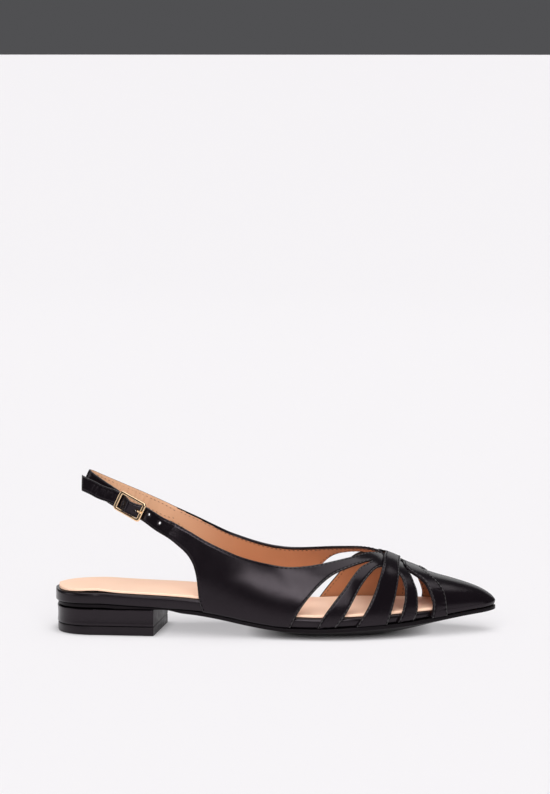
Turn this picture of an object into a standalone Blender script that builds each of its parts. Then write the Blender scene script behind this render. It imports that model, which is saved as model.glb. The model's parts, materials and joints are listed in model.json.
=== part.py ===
"""Pointed slingback flat with a cut-out vamp, built as the pieces that a shoemaker puts together.

The tables hold millimetres and the scene holds metres. +X runs from heel to toe, +Z is up and the
floor is z = 0. The outer (lateral) side of this right shoe is at -Y, its inner (medial) side at +Y.
"""

import math
from functools import partial

import bmesh
import bpy
import numpy as np
from mathutils import Matrix, Vector
from mathutils.geometry import delaunay_2d_cdt

MM = 0.001
LATERAL, MEDIAL = -1, 1


def table(names, *rows):
    """A table with named columns, as a dictionary from name to column."""
    return dict(zip(names.split(), np.array(rows, float).T))


# Driving sizes
TOE_X = 132.5
HEEL_X = -132.5
LINE_Y = 3.4
GAP = 0.3
OUTSOLE_THICK = 2.2
INSOLE_THICK = 1.5
INSOLE_CROWN = 0.8
INSOLE_INSET = 2.0
INNER_CLEAR = 1.7
TOE_NARROWING = 30.0
RIM_FRONT_X, INSOLE_FRONT_X = 121.0, 117.0
WALL_THICK = 1.6
WALL_OUT = 2.1
BAND_THICK = 1.1
STRIP_THICK = 0.8
STRAP_WIDTH = 8.6
TOP_PIECE_HIGH = 5.2
LAST_POWER = 2.3
GIRTH, GIRTH_LINES = 60.0, 12
UNROLL_X, UNROLL_LONG = 118.0, 36.0

# Plan of the rim: distance of each side from the line between heel and toe
OUTLINE = table(
    "x lateral medial",
    (-105, 29.0, 25.0), (-90, 30.5, 24.0), (-70, 32.1, 22.9), (-45, 34.4, 23.6), (-20, 37.0, 26.0),
    (5, 39.4, 29.6), (30, 41.0, 33.0), (45, 40.4, 34.1), (60, 37.2, 32.8), (75, 32.4, 29.6),
    (90, 26.3, 24.7), (105, 19.4, 18.6), (118, 12.6, 12.4), (126, 7.75, 7.75),
)
HEEL_ROUND_X, HEEL_POWER = -105.0, 2.4
TOE_ROUND_X = 126.0

# Feather line, where upper and rim meet the outsole, and the outsole's tread under its middle
FEATHER = table(
    "x z",
    (-132.5, 18.8), (-105, 18.9), (-90, 18.2), (-75, 17.5), (-62, 16.9), (-47, 15.85), (-36, 14.3),
    (-29, 13.0), (-14, 10.0), (1, 7.7), (11, 6.95), (24, 6.8), (37, 7.3), (49, 7.9), (67, 8.8),
    (84, 10.1), (100, 11.9), (117, 14.0), (126, 14.8), (132.5, 15.6),
)
TREAD = table(
    "x z",
    (-132.5, 15.9), (-66, 15.9), (-56, 14.2), (-45, 12.2), (-23, 7.8), (0, 2.9), (10, 0.7), (16, 0),
    (54, 0), (64, 0.8), (80, 3.4), (100, 7.7), (117, 11.0), (126, 12.2), (132.5, 13.1),
)
RIM = table(
    "x thick",
    (-132.5, 6.4), (-100, 6.8), (-60, 7.0), (-45, 7.0), (20, 6.0), (78, 4.7), (108, 3.0), (132.5, 3.0),
)
OUTSOLE_EDGE = table(
    "x out",
    (-132.5, -1.4), (-62, -1.4), (-40, 0.5), (0, 1.0), (25, 2.0), (60, 2.3), (132.5, 2.1),
)

# Height of the last's ridge, over the toe and, above the open collar, over the instep
RIDGE = table(
    "x z",
    (-66, 109), (-45, 92), (-20, 72), (0, 60), (17, 54.9), (37, 51.3), (47, 50.2), (57, 49.1),
    (62, 47.8), (67, 45.0), (71, 43.4), (76, 41.3), (90, 36.0), (95, 34.4), (109, 30.6), (118.5, 27.6),
    (124, 25.3), (128, 23.0), (130.5, 21.0), (131.7, 19.7), (132.5, 18.4),
)

# Edges of the upper, by share of the girth from the feather edge (0) to the ridge (1)
TOPLINE = table(
    "x lateral medial",
    (-58, 0.509, 0.559), (-49.5, 0.493, 0.555), (-40, 0.474, 0.55), (-31, 0.468, 0.55),
    (-22, 0.467, 0.561), (-13, 0.476, 0.574), (-2, 0.493, 0.595), (8, 0.501, 0.611),
    (17.5, 0.526, 0.634), (27.5, 0.571, 0.673), (37, 0.633, 0.722), (47, 0.718, 0.783),
    (56.5, 0.853, 0.885), (61.5, 0.92, 0.93), (66, 1.0, 1.0),
)
REAR_EDGE = table(
    "girth x",
    (0, -42.0), (0.088, -44.5), (0.154, -45.2), (0.225, -46.1), (0.28, -47.5), (0.317, -49.3),
    (0.354, -52.6), (0.381, -57.1), (0.403, -61.7), (0.409, -63.5),
)
QUARTER_GAP = table(
    "girth rear front",
    (0, 10.3, 25.8), (0.094, 13.5, 29.4), (0.188, 17.6, 34.1), (0.272, 22.1, 38.5), (0.351, 26.8, 42.5),
    (0.479, 36.2, 47.6), (0.569, 46.0, 51.3), (0.648, 54.3, 56.3), (0.69, 58.5, 58.5),
)
MEDIAL_QUARTER_GAP = table(
    "girth rear front",
    (0, 10.3, 25.8), (0.094, 13.5, 29.4), (0.188, 17.6, 34.1), (0.272, 21.6, 38.5), (0.351, 25.8, 42.5),
    (0.46, 32.0, 46.9), (0.55, 36.9, 50.7), (0.61, 41.6, 53.8), (0.65, 47.2, 56.2), (0.68, 53.6, 58.6),
    (0.693, 60.3, 60.3),
)
INSTEP_GAP = table(
    "girth rear front",
    (0, 37.3, 73.9), (0.098, 42.5, 76.2), (0.195, 46.3, 77.6), (0.273, 49.0, 78.2), (0.381, 52.8, 78.3),
    (0.488, 57.1, 77.3), (0.576, 60.9, 75.6), (0.629, 64.3, 72.9), (0.664, 68.0, 68.0),
)
TOE_GAP = table(
    "girth rear front",
    (0, 83.8, 93.8), (0.097, 85.6, 94.5), (0.195, 86.1, 94.9), (0.311, 86.0, 93.9), (0.408, 85.4, 92.5),
    (0.518, 83.8, 90.6), (0.632, 82.2, 86.9), (0.734, 80.4, 80.4),
)
INSTEP_BAND = table(
    "girth rear front lift",
    (0, 49.2, 68.0, 0), (0.097, 53.5, 69.9, 0), (0.194, 57.0, 71.5, 0), (0.36, 61.1, 73.5, 0),
    (0.582, 64.3, 74.9, 1.5), (0.736, 65.1, 75.0, 1.5), (1.0, 66.0, 75.5, 1.5),
)
TOE_STRIP = table(
    "girth rear front lift",
    (0, 94.3, 103.8, 1.1), (0.096, 95.0, 103.7, 1.1), (0.194, 95.4, 103.4, 1.1),
    (0.312, 94.4, 102.8, 1.1), (0.409, 93.0, 101.9, 1.1), (0.519, 91.1, 100.0, 1.1),
    (0.632, 87.4, 97.3, 1.1), (0.738, 80.8, 94.2, 1.1), (0.857, 77.8, 90.5, 1.1), (1.0, 77.2, 88.0, 1.1),
)
MEDIAL_SHIFT = table(
    "x shift",
    (-66, 0), (-5, 0), (15, -2.5), (32, -4.6), (45, -5.5), (58, -8.0), (72, -8.0), (94, -6.3), (118, -1.0),
    (132.5, 0),
)

# Buckle: a frame round the outer strap, with a bar behind it that holds the sling
BUCKLE_CENTRE = (-86.4, -20.75, 76.8)
BUCKLE_TURN = math.radians(27)
BUCKLE_SLOPE = math.radians(23)
BUCKLE_LONG, BUCKLE_HIGH = 19.8, 12.2
BUCKLE_WIRE, BUCKLE_ROUND, BUCKLE_BAR_RADIUS = 1.5, 1.2, 0.6
BUCKLE_BAR_AT = BUCKLE_LONG / 2 - BUCKLE_WIRE / 2
PRONG_RADIUS = 0.5
HOLE_RADIUS, PRONG_HOLE_RADIUS = 0.8, 2.1
HOLES = table("run across", (-4.2, 0), (13.1, 1.3), (21.9, 0.6))
PRONG_HOLE_AT = 4.0

# Middle line of each strap behind the quarters; run is along the strap from the buckle's middle
STRAP_LEAN = Vector((0.40, 0, 0.92)).normalized()
STRAP_RUN = table("x y z", (-68.4, -29.1, 67.5))
TIP_RUN = table("x y z", (-105.0, -12.0, 84.0), (-110.0, -10.0, 86.5), (-114.6, -8.2, 88.8))
SLING_RUN = table(
    "x y z",
    (-70, 21.5, 70.4), (-80, 18.3, 75.5), (-90, 13.8, 80.5), (-100, 9.0, 85.5), (-108, 4.8, 89.6),
    (-112.6, 1.4, 92.1), (-114.0, -1.4, 92.8), (-112.8, -4.2, 91.9), (-108, -7.0, 88.8),
    (-100, -10.4, 84.0),
)
WEAVE = table(
    "run lift",
    (12.5, -0.7), (BUCKLE_BAR_AT, -1.25), (4.3, 0.8), (0, 2.8), (-4.3, 0.8), (-BUCKLE_BAR_AT, -1.25),
    (-12.5, -0.7),
)
SLING_END = table("run lift", (-BUCKLE_BAR_AT, -3.7), (-3.5, -2.2), (0, -1.5), (2.6, -1.4))

# Heel: breast line from its lateral to its medial corner, and inset from the rim
BREAST_LATERAL_X, BREAST_MEDIAL_X = -71.8, -66.6
HEEL_INSET, TOP_PIECE_INSET = 1.8, 2.3
HEEL_EDGE_ROUND = 0.4

# Colour, roughness and metallic value of each piece
BLACK_LEATHER = ((0.012, 0.011, 0.012, 1), 0.32, 0.0)
BLACK_RIM = ((0.010, 0.010, 0.010, 1), 0.28, 0.0)
BLACK_SOLE = ((0.014, 0.014, 0.014, 1), 0.45, 0.0)
TAN_SOCK = ((0.80, 0.56, 0.40, 1), 0.55, 0.0)
PALE_GOLD = ((0.90, 0.66, 0.36, 1), 0.22, 1.0)


def smooth(xs, ys, x):
    """A curve through the points (xs, ys) that never overshoots them, read at x."""
    x = np.asarray(x, float)
    step = np.diff(xs)
    rise = np.diff(ys) / step
    slope = np.concatenate(([rise[0]], np.zeros(len(xs) - 2), [rise[-1]]))
    for k in range(1, len(xs) - 1):
        if rise[k - 1] * rise[k] > 0:
            before, after = 2 * step[k] + step[k - 1], step[k] + 2 * step[k - 1]
            slope[k] = (before + after) / (before / rise[k - 1] + after / rise[k])
    i = np.clip(np.searchsorted(xs, x) - 1, 0, len(xs) - 2)
    t = (x - xs[i]) / step[i]
    start = (1 + 2 * t) * (1 - t) ** 2 * ys[i] + t * (1 - t) ** 2 * step[i] * slope[i]
    end = t * t * (3 - 2 * t) * ys[i + 1] + t * t * (t - 1) * step[i] * slope[i + 1]
    return start + end


def feather_z(x):
    """Height of the feather line at station x."""
    return float(smooth(FEATHER["x"], FEATHER["z"], x))


def toe_share(x):
    """1 behind the round of the toe, falling to 0 at its tip."""
    return math.sqrt(np.clip((TOE_X - x) / (TOE_X - TOE_ROUND_X), 0, 1))


def half_width(x, side, inset=0.0):
    """Distance of an edge from the line between heel and toe: the rim's outline, set in by the inset."""
    column = OUTLINE["lateral"] if side == LATERAL else OUTLINE["medial"]
    width = float(smooth(OUTLINE["x"], column, np.clip(x, HEEL_ROUND_X, TOE_ROUND_X))) - inset
    back = np.clip((HEEL_ROUND_X - x) / (HEEL_ROUND_X - HEEL_X - inset), 0, 1)
    return width * toe_share(x) * (1 - back**HEEL_POWER) ** (1 / HEEL_POWER)


def wall(x, girth, side, lift=0.0):
    """A point of the upper's outer face: station x, share of the girth and height above the face."""
    if side == MEDIAL:
        x += float(smooth(MEDIAL_SHIFT["x"], MEDIAL_SHIFT["shift"], x)) * (1 - girth**3)
    foot = feather_z(x)
    ridge = float(smooth(RIDGE["x"], RIDGE["z"], x)) + lift
    width = half_width(x, side) + WALL_OUT * toe_share(x) + lift
    turn = np.linspace(0, math.pi / 2, 121)
    across = width * np.cos(turn) ** (2 / LAST_POWER)
    up = foot + (ridge - foot) * np.sin(turn) ** (2 / LAST_POWER)
    along = np.concatenate(([0], np.cumsum(np.hypot(np.diff(across), np.diff(up)))))
    share = along / along[-1]
    return Vector((x, LINE_Y + side * np.interp(girth, share, across), np.interp(girth, share, up)))


def inside(points, outline):
    """Which points lie inside a closed flat outline."""
    found = np.zeros(len(points), bool)
    for (x0, y0), (x1, y1) in zip(outline, np.roll(outline, -1, axis=0)):
        crosses = (y0 > points[:, 1]) != (y1 > points[:, 1])
        if y0 != y1:
            found ^= crosses & (points[:, 0] < (x1 - x0) * (points[:, 1] - y0) / (y1 - y0) + x0)
    return found


def clear_of(points, outline, distance):
    """Which points keep this distance from every side of an outline."""
    kept = np.ones(len(points), bool)
    for start, end in zip(outline, np.roll(outline, -1, axis=0)):
        side = end - start
        share = np.clip((points - start) @ side / max(side @ side, 1e-9), 0, 1)
        kept &= np.linalg.norm(points - start - share[:, None] * side, axis=1) > distance
    return kept


def unrolled(x):
    """Length along the flat pattern: x itself, stretched round the tip of the toe."""
    left = np.clip((TOE_X - x) / (TOE_X - UNROLL_X), 0, 1)
    return np.minimum(x, UNROLL_X) + UNROLL_LONG * (1 - np.sqrt(left))


def rolled(length):
    """Station x of a length along the flat pattern."""
    left = 1 - np.clip((length - UNROLL_X) / UNROLL_LONG, 0, 1)
    return float(min(length, UNROLL_X) + (TOE_X - UNROLL_X) * (1 - left**2))


def set_on_last(mesh, outline, place, stations, girths, clearance=2.0):
    """Cuts a flat pattern of (x, girth) points, with a grid inside it, and sets it on the last."""
    flat = np.array([(unrolled(x), g * GIRTH) for x, g in outline])
    grid = np.array([(unrolled(x), g * GIRTH) for x in stations for g in girths])
    grid = grid[inside(grid, flat)]
    grid = grid[clear_of(grid, flat, clearance)]
    points = [Vector(p) for p in np.vstack([flat, grid])]
    edges = [(i, (i + 1) % len(flat)) for i in range(len(flat))]
    points, _, faces, *_ = delaunay_2d_cdt(points, edges, [], 0, 1e-5)
    verts = [mesh.verts.new(place(rolled(p.x), p.y / GIRTH) * MM) for p in points]
    middles = np.array([np.mean([points[i] for i in face], axis=0) for face in faces])
    for face, kept in zip(faces, inside(middles, flat)):
        if kept:
            mesh.faces.new([verts[i] for i in face])
    bmesh.ops.delete(mesh, geom=[v for v in mesh.verts if not v.link_faces], context="VERTS")


def edge(rows, column, girths):
    """Points (x, girth) along one edge of a pattern table."""
    return [(float(smooth(rows["girth"], rows[column], g)), float(g)) for g in girths]


def notch(rows, count=15):
    """A gap between two straps, open at the feather edge, from its front foot to its rear foot."""
    girths = np.linspace(0, rows["girth"][-1], count)
    return edge(rows, "front", girths) + edge(rows, "rear", girths[-2::-1])


def topline(side):
    """Shares of the girth along the topline of one side."""
    return TOPLINE["lateral"] if side == LATERAL else TOPLINE["medial"]


def rear_rise(side):
    """How much higher the rear edge stands than the lateral one's table."""
    return topline(side)[0] / topline(LATERAL)[0]


def seam_points(side, count=5):
    """Where the pattern hands over to the strap: points (x, girth) from its lower to its upper edge."""
    low = (REAR_EDGE["x"][-1], REAR_EDGE["girth"][-1] * rear_rise(side))
    high = (TOPLINE["x"][0], topline(side)[0])
    return [tuple(np.array(low) + (np.array(high) - low) * t) for t in np.linspace(0, 1, count)]


def toe_stations():
    """Stations that close up towards the tip of the toe."""
    return [rolled(length) for length in UNROLL_X + np.linspace(0, UNROLL_LONG, 9)]


def half_pattern(side):
    """Outline of one half of the upper, from the toe's tip round the feather edge and the topline."""
    toe = toe_stations()
    feather = [(x, 0.0) for x in (*toe[::-1], 112, 106, 100)]
    rearmost = QUARTER_GAP if side == LATERAL else MEDIAL_QUARTER_GAP
    gaps = notch(TOE_GAP) + notch(INSTEP_GAP) + notch(rearmost)
    quarter = [(x, 0.0) for x in np.linspace(2, -36, 7)]
    rear = edge(REAR_EDGE, "x", np.linspace(0, REAR_EDGE["girth"][-1], 13)[:-1])
    rear = [(x, g * rear_rise(side)) for x, g in rear]
    collar_x = np.linspace(TOPLINE["x"][0], TOPLINE["x"][-1], 26)[1:]
    collar = [(float(x), float(smooth(TOPLINE["x"], topline(side), x))) for x in collar_x]
    ridge = [(x, 1.0) for x in (70.5, 75, 80, 85, 90, 96, 101, 106, 112, *toe[:-1])]
    front = [(TOE_X, g) for g in np.linspace(1, 0, GIRTH_LINES)[1:-1]]
    return feather + gaps + quarter + rear + seam_points(side) + collar + ridge + front


def buckle_axes():
    """Directions along the strap, across it and out of it at the buckle."""
    flat = math.cos(BUCKLE_SLOPE)
    along = Vector((flat * math.cos(BUCKLE_TURN), -flat * math.sin(BUCKLE_TURN), -math.sin(BUCKLE_SLOPE)))
    across = (STRAP_LEAN - STRAP_LEAN.dot(along) * along).normalized()
    return along, across, along.cross(across)


def at_buckle(run, lift):
    """A point beside the buckle: run along the strap and lift out of it."""
    along, _, out = buckle_axes()
    return Vector(BUCKLE_CENTRE) + Vector((0, LINE_Y, 0)) + along * float(run) + out * float(lift)


def strap_rows(first, path, spacing, count=5):
    """Rows of points across a strap that starts at the row first and follows the path."""
    middle = sum(first, Vector()) / len(first)
    line = [middle, *path]
    along = np.concatenate(([0], np.cumsum([(b - a).length for a, b in zip(line, line[1:])])))
    columns = np.array(line).T
    reads = np.linspace(0, along[-1], int(along[-1] / spacing))[1:]
    start_lean = (first[-1] - first[0]).normalized()
    start_width = (first[-1] - first[0]).length
    rows = []
    for s in reads:
        centre, ahead = (Vector([float(smooth(along, c, v)) for c in columns]) for v in (s, s + 0.1))
        heading = (ahead - centre).normalized()
        share = min(1.0, s / 22.0)
        lean = start_lean.lerp(STRAP_LEAN, share)
        lean = (lean - lean.dot(heading) * heading).normalized()
        width = start_width + (STRAP_WIDTH - start_width) * share * (2 - share)
        rows.append([centre + lean * width * t for t in np.linspace(-0.5, 0.5, count)])
    return rows


def join_rows(mesh, rows):
    """Faces between rows of vertices with equal counts."""
    for low, high in zip(rows, rows[1:]):
        for k in range(len(low) - 1):
            mesh.faces.new((low[k], low[k + 1], high[k + 1], high[k]))


def add_strap(mesh, first, path, spacing):
    """Sews a strap to the upper: faces between its rows of points."""
    rows = [first, *strap_rows(first, path, spacing)]
    join_rows(mesh, [[mesh.verts.new(p * MM) for p in row] for row in rows])


def line_points(rows):
    """A path table's points, measured from the line between heel and toe."""
    return [Vector((x, y + LINE_Y, z)) for x, y, z in zip(rows["x"], rows["y"], rows["z"])]


def buckle_points(rows):
    """A path table's points, measured from the buckle."""
    return [at_buckle(run, lift) for run, lift in zip(rows["run"], rows["lift"])]


def add_object(name, data, finish, collection):
    """Links a mesh or curve as a named piece, with a Principled material of its own."""
    colour, rough, metal = finish
    material = bpy.data.materials.new(name)
    material.use_nodes = True
    shader = material.node_tree.nodes["Principled BSDF"]
    shader.inputs["Base Color"].default_value = colour
    shader.inputs["Roughness"].default_value = rough
    shader.inputs["Metallic"].default_value = metal
    data.materials.append(material)
    piece = bpy.data.objects.new(name, data)
    piece.parent = collection.objects[0]
    collection.objects.link(piece)
    return piece


def add_cutter(name, mesh, collection):
    """Links a closed bmesh as a hidden tool for a Boolean."""
    data = bpy.data.meshes.new(name)
    mesh.to_mesh(data)
    mesh.free()
    cutter = bpy.data.objects.new(name, data)
    cutter.hide_render = True
    cutter.display_type = "WIRE"
    collection.objects.link(cutter)
    return cutter


def face_out(mesh):
    """Turns an open shell so that its faces point away from the foot inside it."""
    bmesh.ops.recalc_face_normals(mesh, faces=mesh.faces)
    mesh.normal_update()
    inner = Vector((0, LINE_Y * MM, 0.03))
    outward = sum(f.calc_area() * f.normal.y * (f.calc_center_median().y - inner.y) for f in mesh.faces)
    if outward < 0:
        bmesh.ops.reverse_faces(mesh, faces=mesh.faces)


def add_shell(name, mesh, thick, collection):
    """A shell piece: an open outer face, thickened inwards."""
    bmesh.ops.remove_doubles(mesh, verts=mesh.verts, dist=1e-5)
    face_out(mesh)
    data = bpy.data.meshes.new(name)
    mesh.to_mesh(data)
    mesh.free()
    data.shade_smooth()
    piece = add_object(name, data, BLACK_LEATHER, collection)
    shell = piece.modifiers.new("wall", "SOLIDIFY")
    shell.thickness = thick * MM
    shell.offset = -1
    shell.use_even_offset = True
    return piece


def loft(name, sections, finish, collection):
    """A closed piece through rings of points with equal counts, capped at both ends."""
    mesh = bmesh.new()
    rings = [[mesh.verts.new(Vector(p) * MM) for p in ring] for ring in sections]
    for ring, following in zip(rings, rings[1:]):
        for k in range(len(ring)):
            after = (k + 1) % len(ring)
            mesh.faces.new((ring[k], ring[after], following[after], following[k]))
    mesh.faces.new(rings[0][::-1])
    mesh.faces.new(rings[-1])
    bmesh.ops.recalc_face_normals(mesh, faces=mesh.faces)
    data = bpy.data.meshes.new(name)
    mesh.to_mesh(data)
    mesh.free()
    data.shade_smooth()
    data.set_sharp_from_angle(angle=math.radians(40))
    return add_object(name, data, finish, collection)


def sole_stations(front, inset):
    """Stations from the round of the heel, set in this far, to a round front end at x = front."""
    back = HEEL_ROUND_X - HEEL_X - inset
    heel = [HEEL_ROUND_X - back * math.sin(a) for a in np.radians(np.linspace(88.5, 0, 12))]
    middle = list(np.linspace(HEEL_ROUND_X, front - 14, 32))[1:]
    nose = [front - 14 * (1 - t) ** 2 for t in np.linspace(0, 0.985, 9)][1:]
    return heel + middle + nose


def slab_ring(x, inset, low, high, rounding, crown=0.0):
    """A slab's section at station x: rounded sides, and a top that crowns to its middle."""
    sides = {s: max(half_width(x, s, inset), 0.35) for s in (LATERAL, MEDIAL)}
    soft = min(rounding, 0.45 * (sides[LATERAL] + sides[MEDIAL]) / 2)
    rise = min(rounding, (high - low) * 0.42)
    ring = []
    for side in (LATERAL, MEDIAL):
        edge_y = sides[side]
        run = [(edge_y - soft, low), (edge_y - 0.25 * soft, low + 0.3 * rise), (edge_y, low + rise),
               (edge_y, high - rise), (edge_y - 0.25 * soft, high - 0.3 * rise), (edge_y - soft, high)]
        run = [(x, LINE_Y + side * y, z) for y, z in run]
        ring += run if side == LATERAL else run[::-1]
        if side == LATERAL:
            middle = (sides[MEDIAL] - sides[LATERAL]) / 2
            ring.append((x, LINE_Y + middle, high + crown * np.clip(-x / 60, 0, 1)))
    return ring


def outsole_ring(x):
    """The outsole's section: a thin edge, and an underside that rolls down to the tread."""
    out = float(smooth(OUTSOLE_EDGE["x"], OUTSOLE_EDGE["out"], x))
    tread = float(smooth(TREAD["x"], TREAD["z"], x))
    high = feather_z(x) - GAP
    low = max(high - OUTSOLE_THICK, tread)
    ring = []
    for side in (LATERAL, MEDIAL):
        width = max(half_width(x, side, -out), 0.35)
        soft = min(0.6, 0.3 * width)
        run = [(0.52 * width, tread), (0.78 * width, tread + 0.45 * (low - tread)), (width - soft, low),
               (width, low + 0.3 * (high - low)), (width, high - 0.25 * (high - low)), (width - soft, high)]
        run = [(x, LINE_Y + side * y, z) for y, z in run]
        ring += run if side == LATERAL else run[::-1]
    return ring


def outsole(collection):
    """Full-length outsole: level with the upper's wall in front, set in under the rim at the heel."""
    sections = [outsole_ring(x) for x in sole_stations(TOE_X, -float(OUTSOLE_EDGE["out"][0]))]
    return loft("outsole", sections, BLACK_SOLE, collection)


def rim_thick(x):
    """Height of the covered rim, thinned towards the toe."""
    return float(smooth(RIM["x"], RIM["thick"], x))


def inner_slab(front, inset, low_at, thick_at, rounding, crown):
    """Sections of a slab inside the upper, that narrows to a round end short of the toe."""
    sections = []
    for x in sole_stations(front, inset):
        nose = np.clip((x - front) / TOE_NARROWING + 1, 0, 0.999)
        narrow = inset + INNER_CLEAR * np.clip((x - 60) / 50, 0, 1)
        narrow += half_width(x, MEDIAL) * (1 - math.sqrt(1 - nose**3))
        low = low_at(x)
        sections.append(slab_ring(x, narrow, low, low + thick_at(x), rounding, crown))
    return sections


def covered_rim(collection):
    """Insole board wrapped in black, whose edge shows at the heel and between the straps."""
    sections = inner_slab(RIM_FRONT_X, 0.0, feather_z, rim_thick, 1.6, 0.0)
    return loft("covered_rim", sections, BLACK_RIM, collection)


def insole(collection):
    """Tan sock on top of the rim."""
    def low_at(x):
        return feather_z(x) + rim_thick(x) + GAP

    def thick_at(_):
        return INSOLE_THICK

    sections = inner_slab(INSOLE_FRONT_X, INSOLE_INSET, low_at, thick_at, 0.6, INSOLE_CROWN)
    return loft("insole", sections, TAN_SOCK, collection)


def heel_outline(inset):
    """Plan of the heel: round at the back and straight across the breast."""
    points = []
    for side, breast in ((LATERAL, BREAST_LATERAL_X), (MEDIAL, BREAST_MEDIAL_X)):
        back = HEEL_ROUND_X - HEEL_X - inset
        stations = [HEEL_ROUND_X - back * math.sin(a) for a in np.radians(np.linspace(87, 0, 11))]
        run = [(x, LINE_Y + side * half_width(x, side, inset)) for x in (*stations, -95, -85, breast)]
        points += run[::-1] if side == LATERAL else run
    return points


def heel_piece(name, inset, low, high, finish, collection):
    """A heel layer: its plan as a flat curve, extruded, with softened edges."""
    curve = bpy.data.curves.new(name, "CURVE")
    curve.dimensions = "2D"
    curve.fill_mode = "BOTH"
    curve.extrude = (high - low) / 2 * MM
    outline = heel_outline(inset)
    line = curve.splines.new("POLY")
    line.points.add(len(outline) - 1)
    line.use_cyclic_u = True
    for point, (x, y) in zip(line.points, outline):
        point.co = (x * MM, y * MM, 0, 1)
    piece = add_object(name, curve, finish, collection)
    piece.location.z = (low + high) / 2 * MM
    weld = piece.modifiers.new("weld", "WELD")
    weld.merge_threshold = 1e-5
    soften = piece.modifiers.new("edges", "BEVEL")
    soften.width = HEEL_EDGE_ROUND * MM
    soften.segments = 2
    soften.limit_method = "ANGLE"
    soften.angle_limit = math.radians(50)
    return piece


def hole_cutters(collection):
    """Round cutters for the buckle holes of the outer strap."""
    along, across, out = buckle_axes()
    turn = Matrix((along, across, out)).transposed().to_4x4()
    mesh = bmesh.new()
    holes = [(run, side, HOLE_RADIUS) for run, side in zip(HOLES["run"], HOLES["across"])]
    holes.append((PRONG_HOLE_AT, 0, PRONG_HOLE_RADIUS))
    strap = buckle_points(WEAVE)
    front = line_points(STRAP_RUN)[0]
    for run, side, radius in holes:
        if run > WEAVE["run"][0]:
            share = (run - WEAVE["run"][0]) / (front - strap[0]).length
            centre = strap[0].lerp(front, share)
        else:
            centre = at_buckle(run, 0)
        place = Matrix.Translation((centre + across * side) * MM) @ turn
        bmesh.ops.create_cone(mesh, cap_ends=True, segments=10, radius1=radius * MM, radius2=radius * MM,
                              depth=9 * MM, matrix=place)
    return add_cutter("strap_holes", mesh, collection)


def upper(collection, cutters):
    """Toe, straps, quarters, buckle strap and sling as one leather wall, open below and at the collar."""
    mesh = bmesh.new()
    stations = [*np.arange(-56, 118, 5.0), *toe_stations()[1:-1]]
    girths = np.linspace(0, 1, GIRTH_LINES)[1:-1]
    for side in (LATERAL, MEDIAL):
        set_on_last(mesh, half_pattern(side), partial(wall, side=side), stations, girths)
    seams = {side: [wall(x, g, side) for x, g in seam_points(side)] for side in (LATERAL, MEDIAL)}
    outer_path = line_points(STRAP_RUN) + buckle_points(WEAVE) + line_points(TIP_RUN)
    add_strap(mesh, seams[LATERAL], outer_path, 2.4)
    add_strap(mesh, seams[MEDIAL], line_points(SLING_RUN) + buckle_points(SLING_END), 2.8)
    piece = add_shell("upper", mesh, WALL_THICK, collection)
    holes = piece.modifiers.new("holes", "BOOLEAN")
    holes.operation = "DIFFERENCE"
    holes.object = hole_cutters(cutters)
    return piece


def laid_strip(name, rows, thick, collection):
    """A strip over the vamp, from the lateral feather edge over the ridge to the medial one."""
    mesh = bmesh.new()
    lines = []
    for side, girths in ((LATERAL, np.linspace(0, 1, 21)), (MEDIAL, np.linspace(1, 0, 21)[1:])):
        for girth in girths:
            names = ("rear", "front", "lift")
            rear, front, lift = (float(smooth(rows["girth"], rows[name], girth)) for name in names)
            row = [wall(x, girth, side, lift) for x in np.linspace(rear, front, 5)]
            lines.append([mesh.verts.new(p * MM) for p in row])
    join_rows(mesh, lines)
    return add_shell(name, mesh, thick, collection)


def rounded_rectangle(long, high, radius):
    """Corner points of a rectangle with round corners."""
    points = []
    for k, (sx, sy) in enumerate(((1, 1), (-1, 1), (-1, -1), (1, -1))):
        for a in np.radians(np.linspace(0, 90, 4) + 90 * k):
            points.append((sx * (long / 2 - radius) + radius * math.cos(a),
                           sy * (high / 2 - radius) + radius * math.sin(a)))
    return points


def buckle_matrix():
    """Places flat buckle outlines: X along the strap, Y across it and Z out of it."""
    along, across, out = buckle_axes()
    return Matrix.Translation(at_buckle(0, 0) * MM) @ Matrix((along, across, out)).transposed().to_4x4()


def buckle_frame(collection, cutters):
    """Rectangular wire frame with a bar across its middle."""
    curve = bpy.data.curves.new("buckle_wire", "CURVE")
    curve.dimensions = "3D"
    curve.bevel_depth = BUCKLE_WIRE / 2 * MM
    curve.bevel_resolution = 2
    outline = rounded_rectangle(BUCKLE_LONG - BUCKLE_WIRE, BUCKLE_HIGH - BUCKLE_WIRE, BUCKLE_ROUND)
    line = curve.splines.new("POLY")
    line.points.add(len(outline) - 1)
    line.use_cyclic_u = True
    for point, (x, y) in zip(line.points, outline):
        point.co = (x * MM, y * MM, 0, 1)
    wire = bpy.data.objects.new("buckle_wire", curve)
    collection.objects.link(wire)
    bpy.context.view_layer.update()
    data = bpy.data.meshes.new_from_object(wire.evaluated_get(bpy.context.evaluated_depsgraph_get()))
    bpy.data.objects.remove(wire)
    frame = add_object("buckle_frame", data, PALE_GOLD, collection)
    frame.matrix_world = buckle_matrix()
    radius = BUCKLE_BAR_RADIUS * MM
    upright = Matrix.Rotation(math.radians(90), 4, "X")
    mesh = bmesh.new()
    bmesh.ops.create_cone(mesh, cap_ends=True, segments=10, radius1=radius, radius2=radius,
                          depth=(BUCKLE_HIGH - BUCKLE_WIRE) * MM, matrix=upright)
    bar = add_cutter("buckle_bar", mesh, cutters)
    bar.matrix_world = buckle_matrix()
    join = frame.modifiers.new("bar", "BOOLEAN")
    join.operation = "UNION"
    join.object = bar
    return frame


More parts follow.
